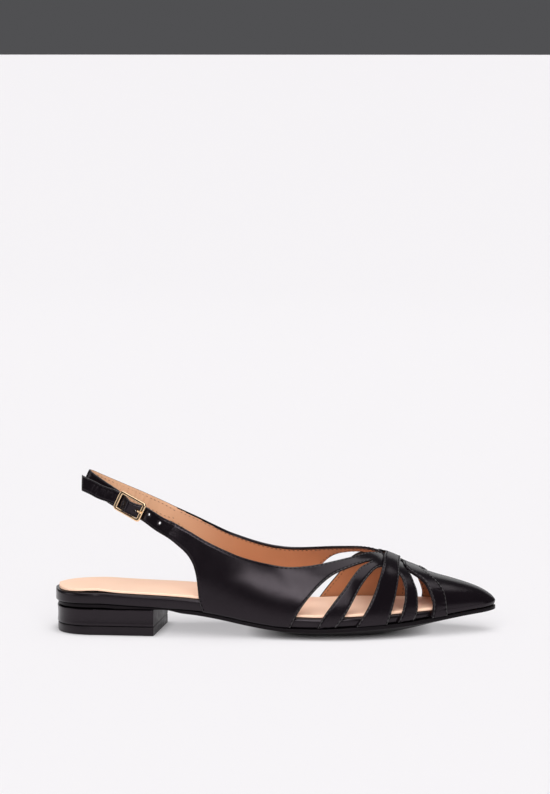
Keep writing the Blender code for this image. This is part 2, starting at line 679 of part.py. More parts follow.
def buckle_prong(collection):
    """Pin from the middle bar, through the strap's hole, onto the frame's front bar."""
    curve = bpy.data.curves.new("buckle_prong", "CURVE")
    curve.dimensions = "3D"
    curve.bevel_depth = PRONG_RADIUS * MM
    curve.bevel_resolution = 2
    curve.use_fill_caps = True
    rest = BUCKLE_WIRE / 2 + GAP + PRONG_RADIUS
    route = [(1.5, -0.3), (2.8, -0.2), (4.3, 0.5), (5.8, 1.5), (7.5, rest + 0.3), (10.0, rest + 0.05)]
    line = curve.splines.new("POLY")
    line.points.add(len(route) - 1)
    for point, (run, lift) in zip(line.points, route):
        point.co = (*(at_buckle(run, lift) * MM), 1)
    return add_object("buckle_prong", curve, PALE_GOLD, collection)


def main():
    """Clears the scene and builds every piece of the shoe."""
    for old in list(bpy.data.objects):
        bpy.data.objects.remove(old)
    shoe = bpy.data.collections.new("slingback_shoe")
    cutters = bpy.data.collections.new("cutters")
    for collection in (shoe, cutters):
        bpy.context.scene.collection.children.link(collection)
    root = bpy.data.objects.new("shoe_root", None)
    shoe.objects.link(root)
    seat = float(TREAD["z"][0])
    outsole(shoe)
    heel_piece("heel_top_piece", TOP_PIECE_INSET, 0, TOP_PIECE_HIGH, BLACK_SOLE, shoe)
    heel_piece("heel_block", HEEL_INSET, TOP_PIECE_HIGH + GAP, seat - GAP, BLACK_RIM, shoe)
    covered_rim(shoe)
    insole(shoe)
    upper(shoe, cutters)
    laid_strip("instep_band", INSTEP_BAND, BAND_THICK, shoe)
    laid_strip("toe_strip", TOE_STRIP, STRIP_THICK, shoe)
    buckle_frame(shoe, cutters)
    buckle_prong(shoe)


main()
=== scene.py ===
"""Dressed slingback flat: fine leather, sole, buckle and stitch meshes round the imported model.

Tables and sizes are millimetres, meshes are metres. +X runs from heel to toe and +Z is up. The
outer (lateral) side of this right shoe is at -Y, its inner (medial) side at +Y.
"""

from __future__ import annotations

import json
import logging
import math
from dataclasses import dataclass
from enum import Enum
from typing import Iterable, Sequence

import bpy
import numpy as np
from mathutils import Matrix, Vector
from mathutils.geometry import delaunay_2d_cdt

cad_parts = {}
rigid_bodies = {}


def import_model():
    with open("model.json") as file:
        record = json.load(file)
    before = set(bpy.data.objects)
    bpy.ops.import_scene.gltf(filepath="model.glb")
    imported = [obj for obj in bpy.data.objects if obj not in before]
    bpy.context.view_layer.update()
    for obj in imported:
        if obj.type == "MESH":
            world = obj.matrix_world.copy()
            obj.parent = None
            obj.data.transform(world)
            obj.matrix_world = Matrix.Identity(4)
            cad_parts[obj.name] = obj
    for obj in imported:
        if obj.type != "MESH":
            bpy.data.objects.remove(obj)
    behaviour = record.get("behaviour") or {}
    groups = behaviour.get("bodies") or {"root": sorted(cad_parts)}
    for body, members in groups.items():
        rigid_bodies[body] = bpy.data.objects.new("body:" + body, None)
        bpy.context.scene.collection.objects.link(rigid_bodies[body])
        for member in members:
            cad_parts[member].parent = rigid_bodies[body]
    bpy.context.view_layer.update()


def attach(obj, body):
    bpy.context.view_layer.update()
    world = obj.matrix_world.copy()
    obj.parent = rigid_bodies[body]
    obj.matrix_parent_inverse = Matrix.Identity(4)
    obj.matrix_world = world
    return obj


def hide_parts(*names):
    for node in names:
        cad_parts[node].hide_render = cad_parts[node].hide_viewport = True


LOG = logging.getLogger("slingback")
BODY = "root"
MM = 0.001
NOMINAL_GIRTH = 60.0
Columns = dict[str, np.ndarray]
Colour = tuple[float, float, float, float]


def table(names: str, *rows: Sequence[float]) -> Columns:
    """Makes a table with named columns.

    Args:
        names: The columns' names, with spaces between them.
        rows: The rows of numbers.

    Returns:
        A dictionary from each name to its column.
    """
    return dict(zip(names.split(), np.array(rows, float).T))


class Side(Enum):
    """Side of the shoe, as the sign of Y."""

    LATERAL = -1
    MEDIAL = 1


class EdgeKind(Enum):
    """What a stretch of a pattern's outline is."""

    CUT = "cut and turned, in sight"
    FEATHER = "lasted under, out of sight"
    JOIN = "runs on into the other half"


# Plan of the rim: distance of each side from the line between heel and toe
OUTLINE = table(
    "x lateral medial",
    (-105, 29.0, 25.0), (-90, 30.5, 24.0), (-70, 32.1, 22.9), (-45, 34.4, 23.6), (-20, 37.0, 26.0),
    (5, 39.4, 29.6), (30, 41.0, 33.0), (45, 40.4, 34.1), (60, 37.2, 32.8), (75, 32.4, 29.6),
    (90, 26.3, 24.7), (105, 19.4, 18.6), (118, 12.6, 12.4), (126, 7.75, 7.75),
)

# Feather line, where upper and rim meet the outsole, and the outsole's tread under its middle
FEATHER = table(
    "x z",
    (-132.5, 18.8), (-105, 18.9), (-90, 18.2), (-75, 17.5), (-62, 16.9), (-47, 15.85), (-36, 14.3),
    (-29, 13.0), (-14, 10.0), (1, 7.7), (11, 6.95), (24, 6.8), (37, 7.3), (49, 7.9), (67, 8.8),
    (84, 10.1), (100, 11.9), (117, 14.0), (126, 14.8), (132.5, 15.6),
)
TREAD = table(
    "x z",
    (-132.5, 15.9), (-66, 15.9), (-56, 14.2), (-45, 12.2), (-23, 7.8), (0, 2.9), (10, 0.7), (16, 0),
    (54, 0), (64, 0.8), (80, 3.4), (100, 7.7), (117, 11.0), (126, 12.2), (132.5, 13.1),
)
RIM = table(
    "x thick",
    (-132.5, 6.4), (-100, 6.8), (-60, 7.0), (-45, 7.0), (20, 6.0), (78, 4.7), (108, 3.0), (132.5, 3.0),
)
OUTSOLE_EDGE = table(
    "x out",
    (-132.5, -1.4), (-62, -1.4), (-40, 0.5), (0, 1.0), (25, 2.0), (60, 2.3), (132.5, 2.1),
)

# Height of the last's ridge, over the toe and, above the open collar, over the instep
RIDGE = table(
    "x z",
    (-66, 109), (-45, 92), (-20, 72), (0, 60), (17, 54.9), (37, 51.3), (47, 50.2), (57, 49.1),
    (62, 47.8), (67, 45.0), (71, 43.4), (76, 41.3), (90, 36.0), (95, 34.4), (109, 30.6), (118.5, 27.6),
    (124, 25.3), (128, 23.0), (130.5, 21.0), (131.7, 19.7), (132.5, 18.4),
)

# Edges of the upper, by share of the girth from the feather edge (0) to the ridge (1)
TOPLINE = table(
    "x lateral medial",
    (-58, 0.509, 0.559), (-49.5, 0.493, 0.555), (-40, 0.474, 0.55), (-31, 0.468, 0.55),
    (-22, 0.467, 0.561), (-13, 0.476, 0.574), (-2, 0.493, 0.595), (8, 0.501, 0.611),
    (17.5, 0.526, 0.634), (27.5, 0.571, 0.673), (37, 0.633, 0.722), (47, 0.718, 0.783),
    (56.5, 0.853, 0.885), (61.5, 0.92, 0.93), (66, 1.0, 1.0),
)
# How far the leather stands out where it comes upright below the topline, and how far down
TOPLINE_FLARE = table(
    "x high reach",
    (-66, 0, 14), (-58, 0.4, 15), (-48, 1.3, 17), (-40, 1.7, 18), (-30, 1.7, 16), (-15, 1.3, 11),
    (0, 0.9, 8), (20, 0.6, 6), (45, 0.3, 5), (66, 0, 4),
)

# Rear edge of the quarters, the gaps between the straps, and the strips laid over them
REAR_EDGE = table(
    "girth x",
    (0, -42.0), (0.088, -44.5), (0.154, -45.2), (0.225, -46.1), (0.28, -47.5), (0.317, -49.3),
    (0.354, -52.6), (0.381, -57.1), (0.403, -61.7), (0.409, -63.5),
)
QUARTER_GAP = table(
    "girth rear front",
    (0, 10.3, 25.8), (0.094, 13.5, 29.4), (0.188, 17.6, 34.1), (0.272, 22.1, 38.5), (0.351, 26.8, 42.5),
    (0.479, 36.2, 47.6), (0.569, 46.0, 51.3), (0.648, 54.3, 56.3), (0.69, 58.5, 58.5),
)
MEDIAL_QUARTER_GAP = table(
    "girth rear front",
    (0, 10.3, 25.8), (0.094, 13.5, 29.4), (0.188, 17.6, 34.1), (0.272, 21.6, 38.5), (0.351, 25.8, 42.5),
    (0.46, 32.0, 46.9), (0.55, 36.9, 50.7), (0.61, 41.6, 53.8), (0.65, 47.2, 56.2), (0.68, 53.6, 58.6),
    (0.693, 60.3, 60.3),
)
MEDIAL_INSTEP_GAP = table(
    "girth rear front",
    (0, 39.0, 73.9), (0.098, 45.0, 76.2), (0.195, 50.0, 77.6), (0.273, 54.0, 78.2), (0.381, 59.5, 78.3),
    (0.488, 65.0, 77.3), (0.576, 68.5, 75.6), (0.629, 70.2, 72.9), (0.65, 71.4, 71.4),
)
INSTEP_GAP = table(
    "girth rear front",
    (0, 37.3, 73.9), (0.098, 42.5, 76.2), (0.195, 46.3, 77.6), (0.273, 49.0, 78.2), (0.381, 52.8, 78.3),
    (0.488, 57.1, 77.3), (0.576, 60.9, 75.6), (0.629, 64.3, 72.9), (0.664, 68.0, 68.0),
)
TOE_GAP = table(
    "girth rear front",
    (0, 83.8, 93.8), (0.097, 85.6, 94.5), (0.195, 86.1, 94.9), (0.311, 86.0, 93.9), (0.408, 85.4, 92.5),
    (0.518, 83.8, 90.6), (0.632, 82.2, 86.9), (0.734, 80.4, 80.4),
)
INSTEP_BAND = table(
    "girth rear front lift far",
    (0, 49.2, 68.0, 0, 0), (0.097, 53.5, 69.9, 0, 0), (0.194, 57.0, 71.5, 0, 0), (0.36, 61.1, 73.5, 0, 0),
    (0.582, 64.5, 74.9, 1.5, 1.0), (0.736, 65.6, 75.0, 2.0, 0.9), (0.88, 66.2, 75.3, 2.5, 1.2),
    (1.0, 66.8, 75.5, 3.0, 3.0),
)
TOE_STRIP = table(
    "girth rear front lift far",
    (0, 94.3, 103.8, 1.1, 1.1), (0.096, 95.0, 103.7, 1.1, 1.1), (0.194, 95.4, 103.4, 1.1, 1.1),
    (0.312, 94.4, 102.8, 1.1, 1.1), (0.409, 93.0, 101.9, 1.1, 1.1), (0.519, 91.1, 100.0, 1.1, 1.1),
    (0.632, 87.4, 97.3, 1.1, 1.1), (0.738, 80.8, 94.2, 1.1, 1.1), (0.857, 77.8, 90.5, 1.1, 1.1),
    (1.0, 77.2, 88.0, 1.1, 1.1),
)

# How far the inner side lies behind the outer one
MEDIAL_SHIFT = table(
    "x shift",
    (-66, 0), (-5, 0), (15, -2.5), (32, -4.6), (45, -5.5), (58, -8.0), (72, -8.0), (94, -6.3), (118, -1.0),
    (132.5, 0),
)

# Middle line of each strap behind the quarters; run is along the strap from the buckle's middle
STRAP_RUN = table("x y z", (-68.4, -29.1, 67.5))
TIP_RUN = table(
    "x y z",
    (-105.0, -12.0, 84.2), (-110.0, -10.0, 86.5), (-114.6, -8.2, 88.3), (-118.2, -6.8, 89.95),
)
SLING_RUN = table(
    "x y z",
    (-70, 21.5, 70.4), (-80, 18.3, 75.5), (-90, 13.8, 80.5), (-100, 9.0, 85.5), (-108, 4.8, 89.6),
    (-112.6, 1.4, 92.1), (-114.0, -1.4, 92.8), (-112.8, -4.2, 91.9), (-108, -7.0, 88.8),
    (-100, -10.4, 84.0),
)
BAR_RUN = 9.15
WEAVE = table(
    "run lift",
    (12.5, -0.7), (BAR_RUN, -1.25), (4.3, 0.8), (0, 2.8), (-4.3, 0.8), (-BAR_RUN, -1.25), (-12.5, -0.7),
)
SLING_END = table("run lift", (-BAR_RUN, -3.7), (-3.5, -2.2), (0, -1.5), (2.6, -1.4))

# How far each strap's edges leave their even width, and the creases across the straps
NEAR_TRIM = table(
    "run low high",
    (-60, 0, 0), (-9, 0, 0), (-6, 0, -0.2), (-3, 0, -0.6), (2, 0, -1.0), (5.5, 0, -0.6),
    (8.5, 0, 0), (60, 0, 0),
)
SLING_TRIM = table(
    "run low high",
    (-120, -0.8, 0), (-34, -0.8, 0), (-24, -1.0, 0), (-14.5, -1.6, 0), (-10, -1.6, -1.4), (-6, -1.2, -3.0),
    (6, -0.8, -3.0),
)
STRAP_CREASES = table(
    "far run lean deep",
    (0, -15.4, 8, 0.6), (0, -17.6, -6, 0.48), (0, -20.2, 5, 0.72), (0, -22.4, 10, 0.42),
    (0, -25.2, -4, 0.6), (0, -27.3, 3, 0.45),
    (1, -60.0, 10, 0.48), (1, -62.7, -4, 0.6), (1, -65.3, 6, 0.42), (1, -67.7, 12, 0.6),
    (1, -70.3, -2, 0.48), (1, -73.0, 8, 0.6), (1, -76.1, 14, 0.42), (1, -79.5, 4, 0.54),
    (1, -83.3, 10, 0.36),
)

# Share of the girth and strength of the gathers along the toe strip
TOE_PUCKERS = ((0.12, 1.0), (0.2, 0.7), (0.27, 1.0), (0.36, 0.8), (0.44, 1.0), (0.52, 0.6))


def smooth(xs: np.ndarray, ys: np.ndarray, x: np.ndarray | float) -> np.ndarray:
    """Reads a curve that runs through points without overshooting them.

    Args:
        xs: The points' places, in rising order.
        ys: The points' values.
        x: Where the curve is read.

    Returns:
        The curve's values at x.
    """
    x = np.asarray(x, float)
    step = np.diff(xs)
    rise = np.diff(ys) / step
    slope = np.concatenate(([rise[0]], np.zeros(len(xs) - 2), [rise[-1]]))
    for k in range(1, len(xs) - 1):
        if rise[k - 1] * rise[k] > 0:
            before, after = 2 * step[k] + step[k - 1], step[k] + 2 * step[k - 1]
            slope[k] = (before + after) / (before / rise[k - 1] + after / rise[k])
    i = np.clip(np.searchsorted(xs, x) - 1, 0, len(xs) - 2)
    t = (x - xs[i]) / step[i]
    start = (1 + 2 * t) * (1 - t) ** 2 * ys[i] + t * (1 - t) ** 2 * step[i] * slope[i]
    end = t * t * (3 - 2 * t) * ys[i + 1] + t * t * (t - 1) * step[i] * slope[i + 1]
    return start + end


def unit(vectors: np.ndarray) -> np.ndarray:
    """Returns vectors at length 1."""
    return vectors / np.maximum(np.linalg.norm(vectors, axis=-1, keepdims=True), 1e-9)


def path_lengths(points: np.ndarray) -> np.ndarray:
    """Returns the length along a path at each of its points."""
    return np.concatenate(([0.0], np.cumsum(np.linalg.norm(np.diff(points, axis=0), axis=1))))


def mesh_piece(name: str, verts: np.ndarray, faces: Iterable[Sequence[int]],
               materials: Sequence[bpy.types.Material], index: Sequence[int] = ()) -> bpy.types.Object:
    """Makes a smooth mesh object.

    Args:
        name: The piece's name.
        verts: Its points in millimetres.
        faces: The points of each face.
        materials: Its materials.
        index: The material of each face, if there is more than one.

    Returns:
        The new object, linked to the scene.
    """
    data = bpy.data.meshes.new(name)
    data.from_pydata((np.asarray(verts) * MM).tolist(), [], [tuple(map(int, f)) for f in faces])
    for material in materials:
        data.materials.append(material)
    if len(index):
        data.polygons.foreach_set("material_index", np.asarray(index, np.int32))
    data.validate()
    data.shade_smooth()
    piece = bpy.data.objects.new(name, data)
    bpy.context.scene.collection.objects.link(piece)
    return piece


def settle(piece: bpy.types.Object, slot: str, *nodes: str) -> bpy.types.Object:
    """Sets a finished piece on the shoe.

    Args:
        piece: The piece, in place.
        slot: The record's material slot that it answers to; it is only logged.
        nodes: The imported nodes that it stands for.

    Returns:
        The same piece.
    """
    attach(piece, BODY)
    if nodes:
        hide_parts(*nodes)
    LOG.info("%s: %d faces, slot %s, stands for %s", piece.name, len(piece.data.polygons), slot,
             ", ".join(nodes) or "no node")
    return piece


def loft_faces(rings: int, count: int, closed_rings: bool = False) -> list[tuple[int, ...]]:
    """Joins rings of equal counts into a tube.

    Args:
        rings: How many rings there are.
        count: Points in each ring.
        closed_rings: Whether the last ring runs on into the first; otherwise both ends are capped.

    Returns:
        Faces as tuples of point numbers.
    """
    faces = []
    for r in range(rings if closed_rings else rings - 1):
        here, there = r * count, (r + 1) % rings * count
        for k in range(count):
            after = (k + 1) % count
            faces.append((here + k, here + after, there + after, there + k))
    if not closed_rings:
        faces.append(tuple(range(count))[::-1])
        faces.append(tuple(range((rings - 1) * count, rings * count)))
    return faces


def loft_piece(name: str, rings: Sequence[np.ndarray], material: bpy.types.Material) -> bpy.types.Object:
    """Returns a closed loft through rings of equal counts, in one material."""
    return mesh_piece(name, np.concatenate(rings), loft_faces(len(rings), len(rings[0])), [material])


STRAP_LEAN = unit(np.array([0.40, 0.0, 0.92]))


@dataclass(frozen=True)
class Last:
    """The form that the shoe is made on, as curves along the foot."""

    toe_x: float = 132.5
    heel_x: float = -132.5
    line_y: float = 3.4
    toe_round_x: float = 126.0
    heel_round_x: float = -105.0
    heel_power: float = 2.4
    wall_out: float = 2.1
    power: float = 2.3
    arc_steps: int = 181

    def feather(self, x: np.ndarray | float) -> np.ndarray:
        """Returns the height of the feather line at stations x."""
        return smooth(FEATHER["x"], FEATHER["z"], x)

    def toe_share(self, x: np.ndarray | float) -> np.ndarray:
        """Returns 1 behind the round of the toe, falling to 0 at its tip."""
        return np.sqrt(np.clip((self.toe_x - np.asarray(x, float)) / (self.toe_x - self.toe_round_x), 0, 1))

    def half_width(self, x: np.ndarray | float, side: Side, inset: np.ndarray | float = 0.0) -> np.ndarray:
        """Measures from the line between heel and toe to the rim's outline.

        Args:
            x: Stations along the foot.
            side: Which side of the shoe.
            inset: How far inside the outline.

        Returns:
            The distances at those stations.
        """
        x = np.asarray(x, float)
        column = OUTLINE[side.name.lower()]
        width = smooth(OUTLINE["x"], column, np.clip(x, self.heel_round_x, self.toe_round_x)) - inset
        back = np.clip((self.heel_round_x - x) / (self.heel_round_x - self.heel_x - inset), 0, 1)
        return width * self.toe_share(x) * (1 - back**self.heel_power) ** (1 / self.heel_power)

    def wall(self, x: np.ndarray, girth: np.ndarray, side: Side,
             lift: np.ndarray | float = 0.0) -> np.ndarray:
        """Places points on the upper's outer face.

        Args:
            x: Stations along the foot.
            girth: Shares of the girth, from the feather edge (0) to the ridge (1).
            side: Which side of the shoe.
            lift: Height above the face.

        Returns:
            One point for each station.
        """
        girth = np.clip(np.asarray(girth, float), 0, 1)
        x = np.asarray(x, float) + np.zeros_like(girth)
        if side is Side.MEDIAL:
            x = x + smooth(MEDIAL_SHIFT["x"], MEDIAL_SHIFT["shift"], x) * (1 - girth**3)
        x = np.minimum(x, self.toe_x)
        foot = self.feather(x)
        rise = smooth(RIDGE["x"], RIDGE["z"], x) + lift - foot
        width = self.half_width(x, side) + self.wall_out * self.toe_share(x) + lift
        turn = np.linspace(0, math.pi / 2, self.arc_steps)
        across = width[:, None] * np.cos(turn) ** (2 / self.power)
        up = rise[:, None] * np.sin(turn) ** (2 / self.power)
        step = np.hypot(np.diff(across, axis=1), np.diff(up, axis=1))
        along = np.concatenate((np.zeros((len(x), 1)), np.cumsum(step, axis=1)), axis=1)
        share = along / along[:, -1:]
        k = np.clip((share < girth[:, None]).sum(1), 1, self.arc_steps - 1)
        row = np.arange(len(x))
        t = (girth - share[row, k - 1]) / np.maximum(share[row, k] - share[row, k - 1], 1e-12)
        y = across[row, k - 1] + (across[row, k] - across[row, k - 1]) * t
        z = foot + up[row, k - 1] + (up[row, k] - up[row, k - 1]) * t
        return np.stack([x, self.line_y + side.value * y, z], axis=1)


@dataclass(frozen=True)
class Buckle:
    """Rectangular buckle on the outer strap, with a middle bar and a prong."""

    centre: tuple[float, float, float] = (-86.4, -20.75, 76.8)
    turn_deg: float = 27.0
    slope_deg: float = 23.0
    long: float = 19.8
    high: float = 12.2
    side_wide: float = 2.5
    long_wide: float = 1.8
    bar_thick: float = 1.5
    outer_corner: float = 2.2
    inner_corner: float = 0.6
    edge_soft: float = 0.72
    middle_bar_radius: float = 0.6
    prong_radius: float = 0.5

    def axes(self) -> tuple[np.ndarray, np.ndarray, np.ndarray]:
        """Works out the buckle's own directions.

        Returns:
            The directions along the strap, across it and out of it.
        """
        turn, slope = math.radians(self.turn_deg), math.radians(self.slope_deg)
        flat = math.cos(slope)
        along = np.array([flat * math.cos(turn), -flat * math.sin(turn), -math.sin(slope)])
        across = unit(STRAP_LEAN - STRAP_LEAN @ along * along)
        return along, across, np.cross(along, across)

    def at(self, last: Last, run: np.ndarray, across: np.ndarray, lift: np.ndarray) -> np.ndarray:
        """Places points beside the buckle.

        Args:
            last: The shoe's form.
            run: Distances along the strap.
            across: Distances across it.
            lift: Distances out of it.

        Returns:
            The points.
        """
        middle = np.array(self.centre) + (0, last.line_y, 0)
        parts = np.stack(np.broadcast_arrays(run, across, lift), axis=-1).astype(float)
        return middle + parts @ np.array(self.axes())

    def frame_piece(self, last: Last, gold: bpy.types.Material) -> bpy.types.Object:
        """Builds the frame, a flat rectangle with softened edges, and its middle bar.

        Args:
            last: The shoe's form.
            gold: The plating.

        Returns:
            The piece.
        """
        rings = []
        for k, (sx, sy) in enumerate(((1, 1), (-1, 1), (-1, -1), (1, -1))):
            for a in np.radians(np.linspace(0, 90, 9) + 90 * k):
                ends = []
                for wide_x, wide_y, corner in ((0, 0, self.outer_corner),
                                               (self.side_wide, self.long_wide, self.inner_corner)):
                    ends.append((sx * (self.long / 2 - wide_x - corner) + corner * math.cos(a),
                                 sy * (self.high / 2 - wide_y - corner) + corner * math.sin(a)))
                outer, inner = np.array(ends)
                ring = self.bar_section(float(np.linalg.norm(outer - inner)))
                flat = outer + np.outer(ring[:, 0], unit(inner - outer))
                rings.append(self.at(last, flat[:, 0], flat[:, 1], ring[:, 1]))
        verts = np.concatenate(rings)
        faces = loft_faces(len(rings), len(rings[0]), closed_rings=True)
        reach = self.high / 2 - self.long_wide / 2
        bar_verts, bar_faces = self.rod(last, [(0, y, 0) for y in np.linspace(-reach, 0.5 * reach, 5)],
                                        self.middle_bar_radius, tip_round=False)
        faces += [tuple(i + len(verts) for i in f) for f in bar_faces]
        return mesh_piece("buckle_frame_polished", np.concatenate([verts, bar_verts]), faces, [gold])

    def bar_section(self, wide: float) -> np.ndarray:
        """Draws a flat bar's section with soft edges.

        Args:
            wide: The bar's width.

        Returns:
            Distances from its outer side, and heights, round the section.
        """
        half, soft = self.bar_thick / 2, self.edge_soft
        ring = []
        for k, (sx, sy) in enumerate(((1, 1), (-1, 1), (-1, -1), (1, -1))):
            for a in np.radians(np.linspace(0, 90, 6) + 90 * k):
                ring.append((wide / 2 + sx * (wide / 2 - soft) + soft * math.cos(a),
                             sy * (half - soft) + soft * math.sin(a)))
        return np.array(ring)

    def rod(self, last: Last, route: Sequence[tuple[float, float, float]], radius: float,
            tip_round: bool = True, sides: int = 14) -> tuple[np.ndarray, list[tuple[int, ...]]]:
        """Builds a round rod.

        Args:
            last: The shoe's form.
            route: Points (run, across, lift) along its middle.
            radius: Its radius.
            tip_round: Whether its ends are domed.
            sides: Points round it.

        Returns:
            Its points and faces.
        """
        line = np.concatenate([self.at(last, r, a, h)[None] for r, a, h in route])
        along = path_lengths(line)
        reads = np.linspace(0, along[-1], 4 * len(route))
        line = np.stack([smooth(along, line[:, c], reads) for c in range(3)], axis=1)
        heading = unit(np.gradient(line, axis=0))
        first = unit(np.cross(heading, self.axes()[1] + 0.3 * self.axes()[0]))
        second = np.cross(heading, first)
        left = np.minimum(reads, along[-1] - reads)
        dome = np.ones(len(left))
        if tip_round:
            dome = np.sqrt(np.clip(1 - (1 - np.clip(left / radius, 0.02, 1)) ** 2, 0, 1))
        turn = np.linspace(0, 2 * math.pi, sides, endpoint=False)
        ring = np.cos(turn)[:, None, None] * first + np.sin(turn)[:, None, None] * second
        verts = (line + radius * dome[:, None] * ring).transpose(1, 0, 2).reshape(-1, 3)
        return verts, loft_faces(len(line), sides)

    def prong_piece(self, last: Last, gold: bpy.types.Material) -> bpy.types.Object:
        """Builds the prong, from the middle bar through the strap's hole onto the front bar.

        Args:
            last: The shoe's form.
            gold: The plating.

        Returns:
            The piece.
        """
        rest = self.bar_thick / 2 + 0.3 + self.prong_radius
        route = [(1.5, 0, -0.3), (2.8, 0, -0.2), (4.4, 0, -0.2), (5.6, 0, 0.7), (6.8, 0, 1.6),
                 (8.0, 0, rest + 0.25), (10.0, 0, rest + 0.05)]
        return mesh_piece("buckle_prong_polished", *self.rod(last, route, self.prong_radius), [gold])


@dataclass
class Strap:
    """A strap that runs on from a quarter, as a ribbon along a path."""

    seam: np.ndarray
    path: np.ndarray
    trim: Columns
    buckle_node: int
    sense: int
    width: float = 8.6
    settle_run: float = 22.0
    seam_run: float = 12.0

    def __post_init__(self) -> None:
        """Works out the lengths along the path."""
        self.line = np.concatenate([self.seam.mean(axis=0)[None], self.path])
        self.along = path_lengths(self.line)
        self.length = float(self.along[-1])

    def middle(self, run: np.ndarray) -> np.ndarray:
        """Returns the middle line's points at lengths along it."""
        return np.stack([smooth(self.along, self.line[:, c], run) for c in range(3)], axis=1)

    def ribbon(self, run: np.ndarray, share: np.ndarray) -> np.ndarray:
        """Places points on the plain ribbon, before it is fitted to the seam.

        Args:
            run: Lengths along it from the seam.
            share: Shares across it from its lower edge.

        Returns:
            The points.
        """
        centre = self.middle(run)
        heading = unit(self.middle(run + 0.1) - self.middle(run - 0.1))
        turn = np.clip(run / self.settle_run, 0, 1)[:, None]
        start = self.seam[-1] - self.seam[0]
        lean = unit(start) * (1 - turn) + STRAP_LEAN * turn
        lean = unit(lean - (lean * heading).sum(1, keepdims=True) * heading)
        wide = np.linalg.norm(start) + (self.width - np.linalg.norm(start)) * turn * (2 - turn)
        return centre + lean * (wide * (share[:, None] - 0.5) + self.trimmed(run, share)[:, None])

    def trimmed(self, run: np.ndarray, share: np.ndarray) -> np.ndarray:
        """Works out how far points shift across the strap where its edges leave their even width.

        Args:
            run: Lengths along it from the seam.
            share: Shares across it from its lower edge.

        Returns:
            The shift at each point, upwards.
        """
        at = self.sense * (self.along[self.buckle_node] - run)
        at = np.clip(at, self.trim["run"][0], self.trim["run"][-1])
        low, high = (smooth(self.trim["run"], self.trim[c], at) for c in ("low", "high"))
        return low * (1 - share) + high * share

    def at(self, run: np.ndarray, share: np.ndarray) -> np.ndarray:
        """Places points on the strap's outer face.

        Args:
            run: Lengths along it from the seam.
            share: Shares across it from its lower edge.

        Returns:
            The points.
        """
        places = np.linspace(0, 1, len(self.seam))
        seam = np.stack([np.interp(share, places, self.seam[:, c]) for c in range(3)], axis=1)
        start = self.ribbon(np.zeros_like(run), share)
        fade = np.clip(1 - run / self.seam_run, 0, 1)[:, None] ** 2
        return self.ribbon(run, share) + (seam - start) * fade


@dataclass(frozen=True)
class EdgeTurn:
    """How leather is turned in along a cut edge, and where its stitch line sinks in."""

    thick: float = 1.6
    outer_round: float = 0.6
    inner_round: float = 0.5
    lining_step: float = 0.3
    lining_inset: float = 1.05
    lining_edge: float = 1.15
    lining_soft: float = 0.2
    rolled: float = 0.35
    # Widths of the lighter edge band, a painted highlight: towards the toe, further back, and at the
    # strap's tip
    edge_highlight: float = 1.15
    edge_highlight_behind: float = 0.35
    edge_highlight_tip: float = 0.7
    stitch_inset: float = 0.95
    lining_stitch_inset: float = 1.7
    groove_wide: float = 0.4
    groove_deep: float = 0.18
    rows: tuple[float, ...] = (0.12, 0.35, 0.7, 0.95, 1.15, 1.4, 1.7, 2.0, 2.4)

    @staticmethod
    def rounding(distance: np.ndarray, radius: float) -> np.ndarray:
        """Returns how far a round edge falls away at distances from it."""
        left = np.clip(1 - distance / radius, 0, 1)
        return radius * (1 - np.sqrt(1 - left**2))

    def outer_depth(self, distance: np.ndarray) -> np.ndarray:
        """Returns the depth of the outer face at distances from the edge."""
        groove = self.groove_deep * np.exp(-(((distance - self.stitch_inset) / self.groove_wide) ** 2))
        return self.rounding(distance, self.outer_round) + groove

    def inner_depth(self, distance: np.ndarray) -> np.ndarray:
        """Returns the depth of the inner face, with the lining's step, at distances from the edge."""
        step = self.lining_step * np.clip((self.lining_edge - distance) / self.lining_soft, 0, 1)
        return self.thick - step - self.rounding(distance, self.inner_round)


@dataclass
class EdgeLine:
    """A stretch of a pattern's outline in flat coordinates."""

    kind: EdgeKind
    flat: np.ndarray


@dataclass(frozen=True)
class Crease:
    """A soft trough (or ridge, if deep is below 0) in the leather."""

    side: Side
    middle: tuple[float, float]
    heading_deg: float
    long: float
    wide: float
    deep: float

    def depth(self, flat: np.ndarray) -> np.ndarray:
        """Measures the crease.

        Args:
            flat: Flat points.

        Returns:
            Its depth at those points.
        """
        turn = math.radians(self.heading_deg)
        away = flat - np.array(self.middle)
        along = away @ np.array([math.cos(turn), math.sin(turn)])
        cross = away @ np.array([-math.sin(turn), math.cos(turn)])
        return self.deep * np.exp(-((cross / self.wide) ** 2) - (along / self.long) ** 2)


def inside(points: np.ndarray, loops: Sequence[np.ndarray]) -> np.ndarray:
    """Tells which points lie inside flat loops, with loops in loops as holes.

    Args:
        points: Flat points.
        loops: Closed loops of flat points.

    Returns:
        A true or false value for each point.
    """
    found = np.zeros(len(points), bool)
    for loop in loops:
        for (x0, y0), (x1, y1) in zip(loop, np.roll(loop, -1, axis=0)):
            if y0 != y1:
                crosses = (y0 > points[:, 1]) != (y1 > points[:, 1])
                found ^= crosses & (points[:, 0] < (x1 - x0) * (points[:, 1] - y0) / (y1 - y0) + x0)
    return found


def distance_to(points: np.ndarray, starts: np.ndarray, ends: np.ndarray, block: int = 1500) -> np.ndarray:
    """Measures from points to the nearest of many short lines.

    Args:
        points: The points.
        starts: The lines' first ends.
        ends: Their other ends.
        block: How many points are measured at a time.

    Returns:
        One distance for each point.
    """
    side = ends - starts
    size = np.maximum((side**2).sum(1), 1e-12)
    found = []
    for first in range(0, len(points), block):
        away = points[first:first + block, None] - starts[None]
        share = np.clip((away * side).sum(2) / size, 0, 1)
        found.append(np.sqrt(((away - share[..., None] * side) ** 2).sum(2).min(1)))
    return np.concatenate(found) if found else np.zeros(0)


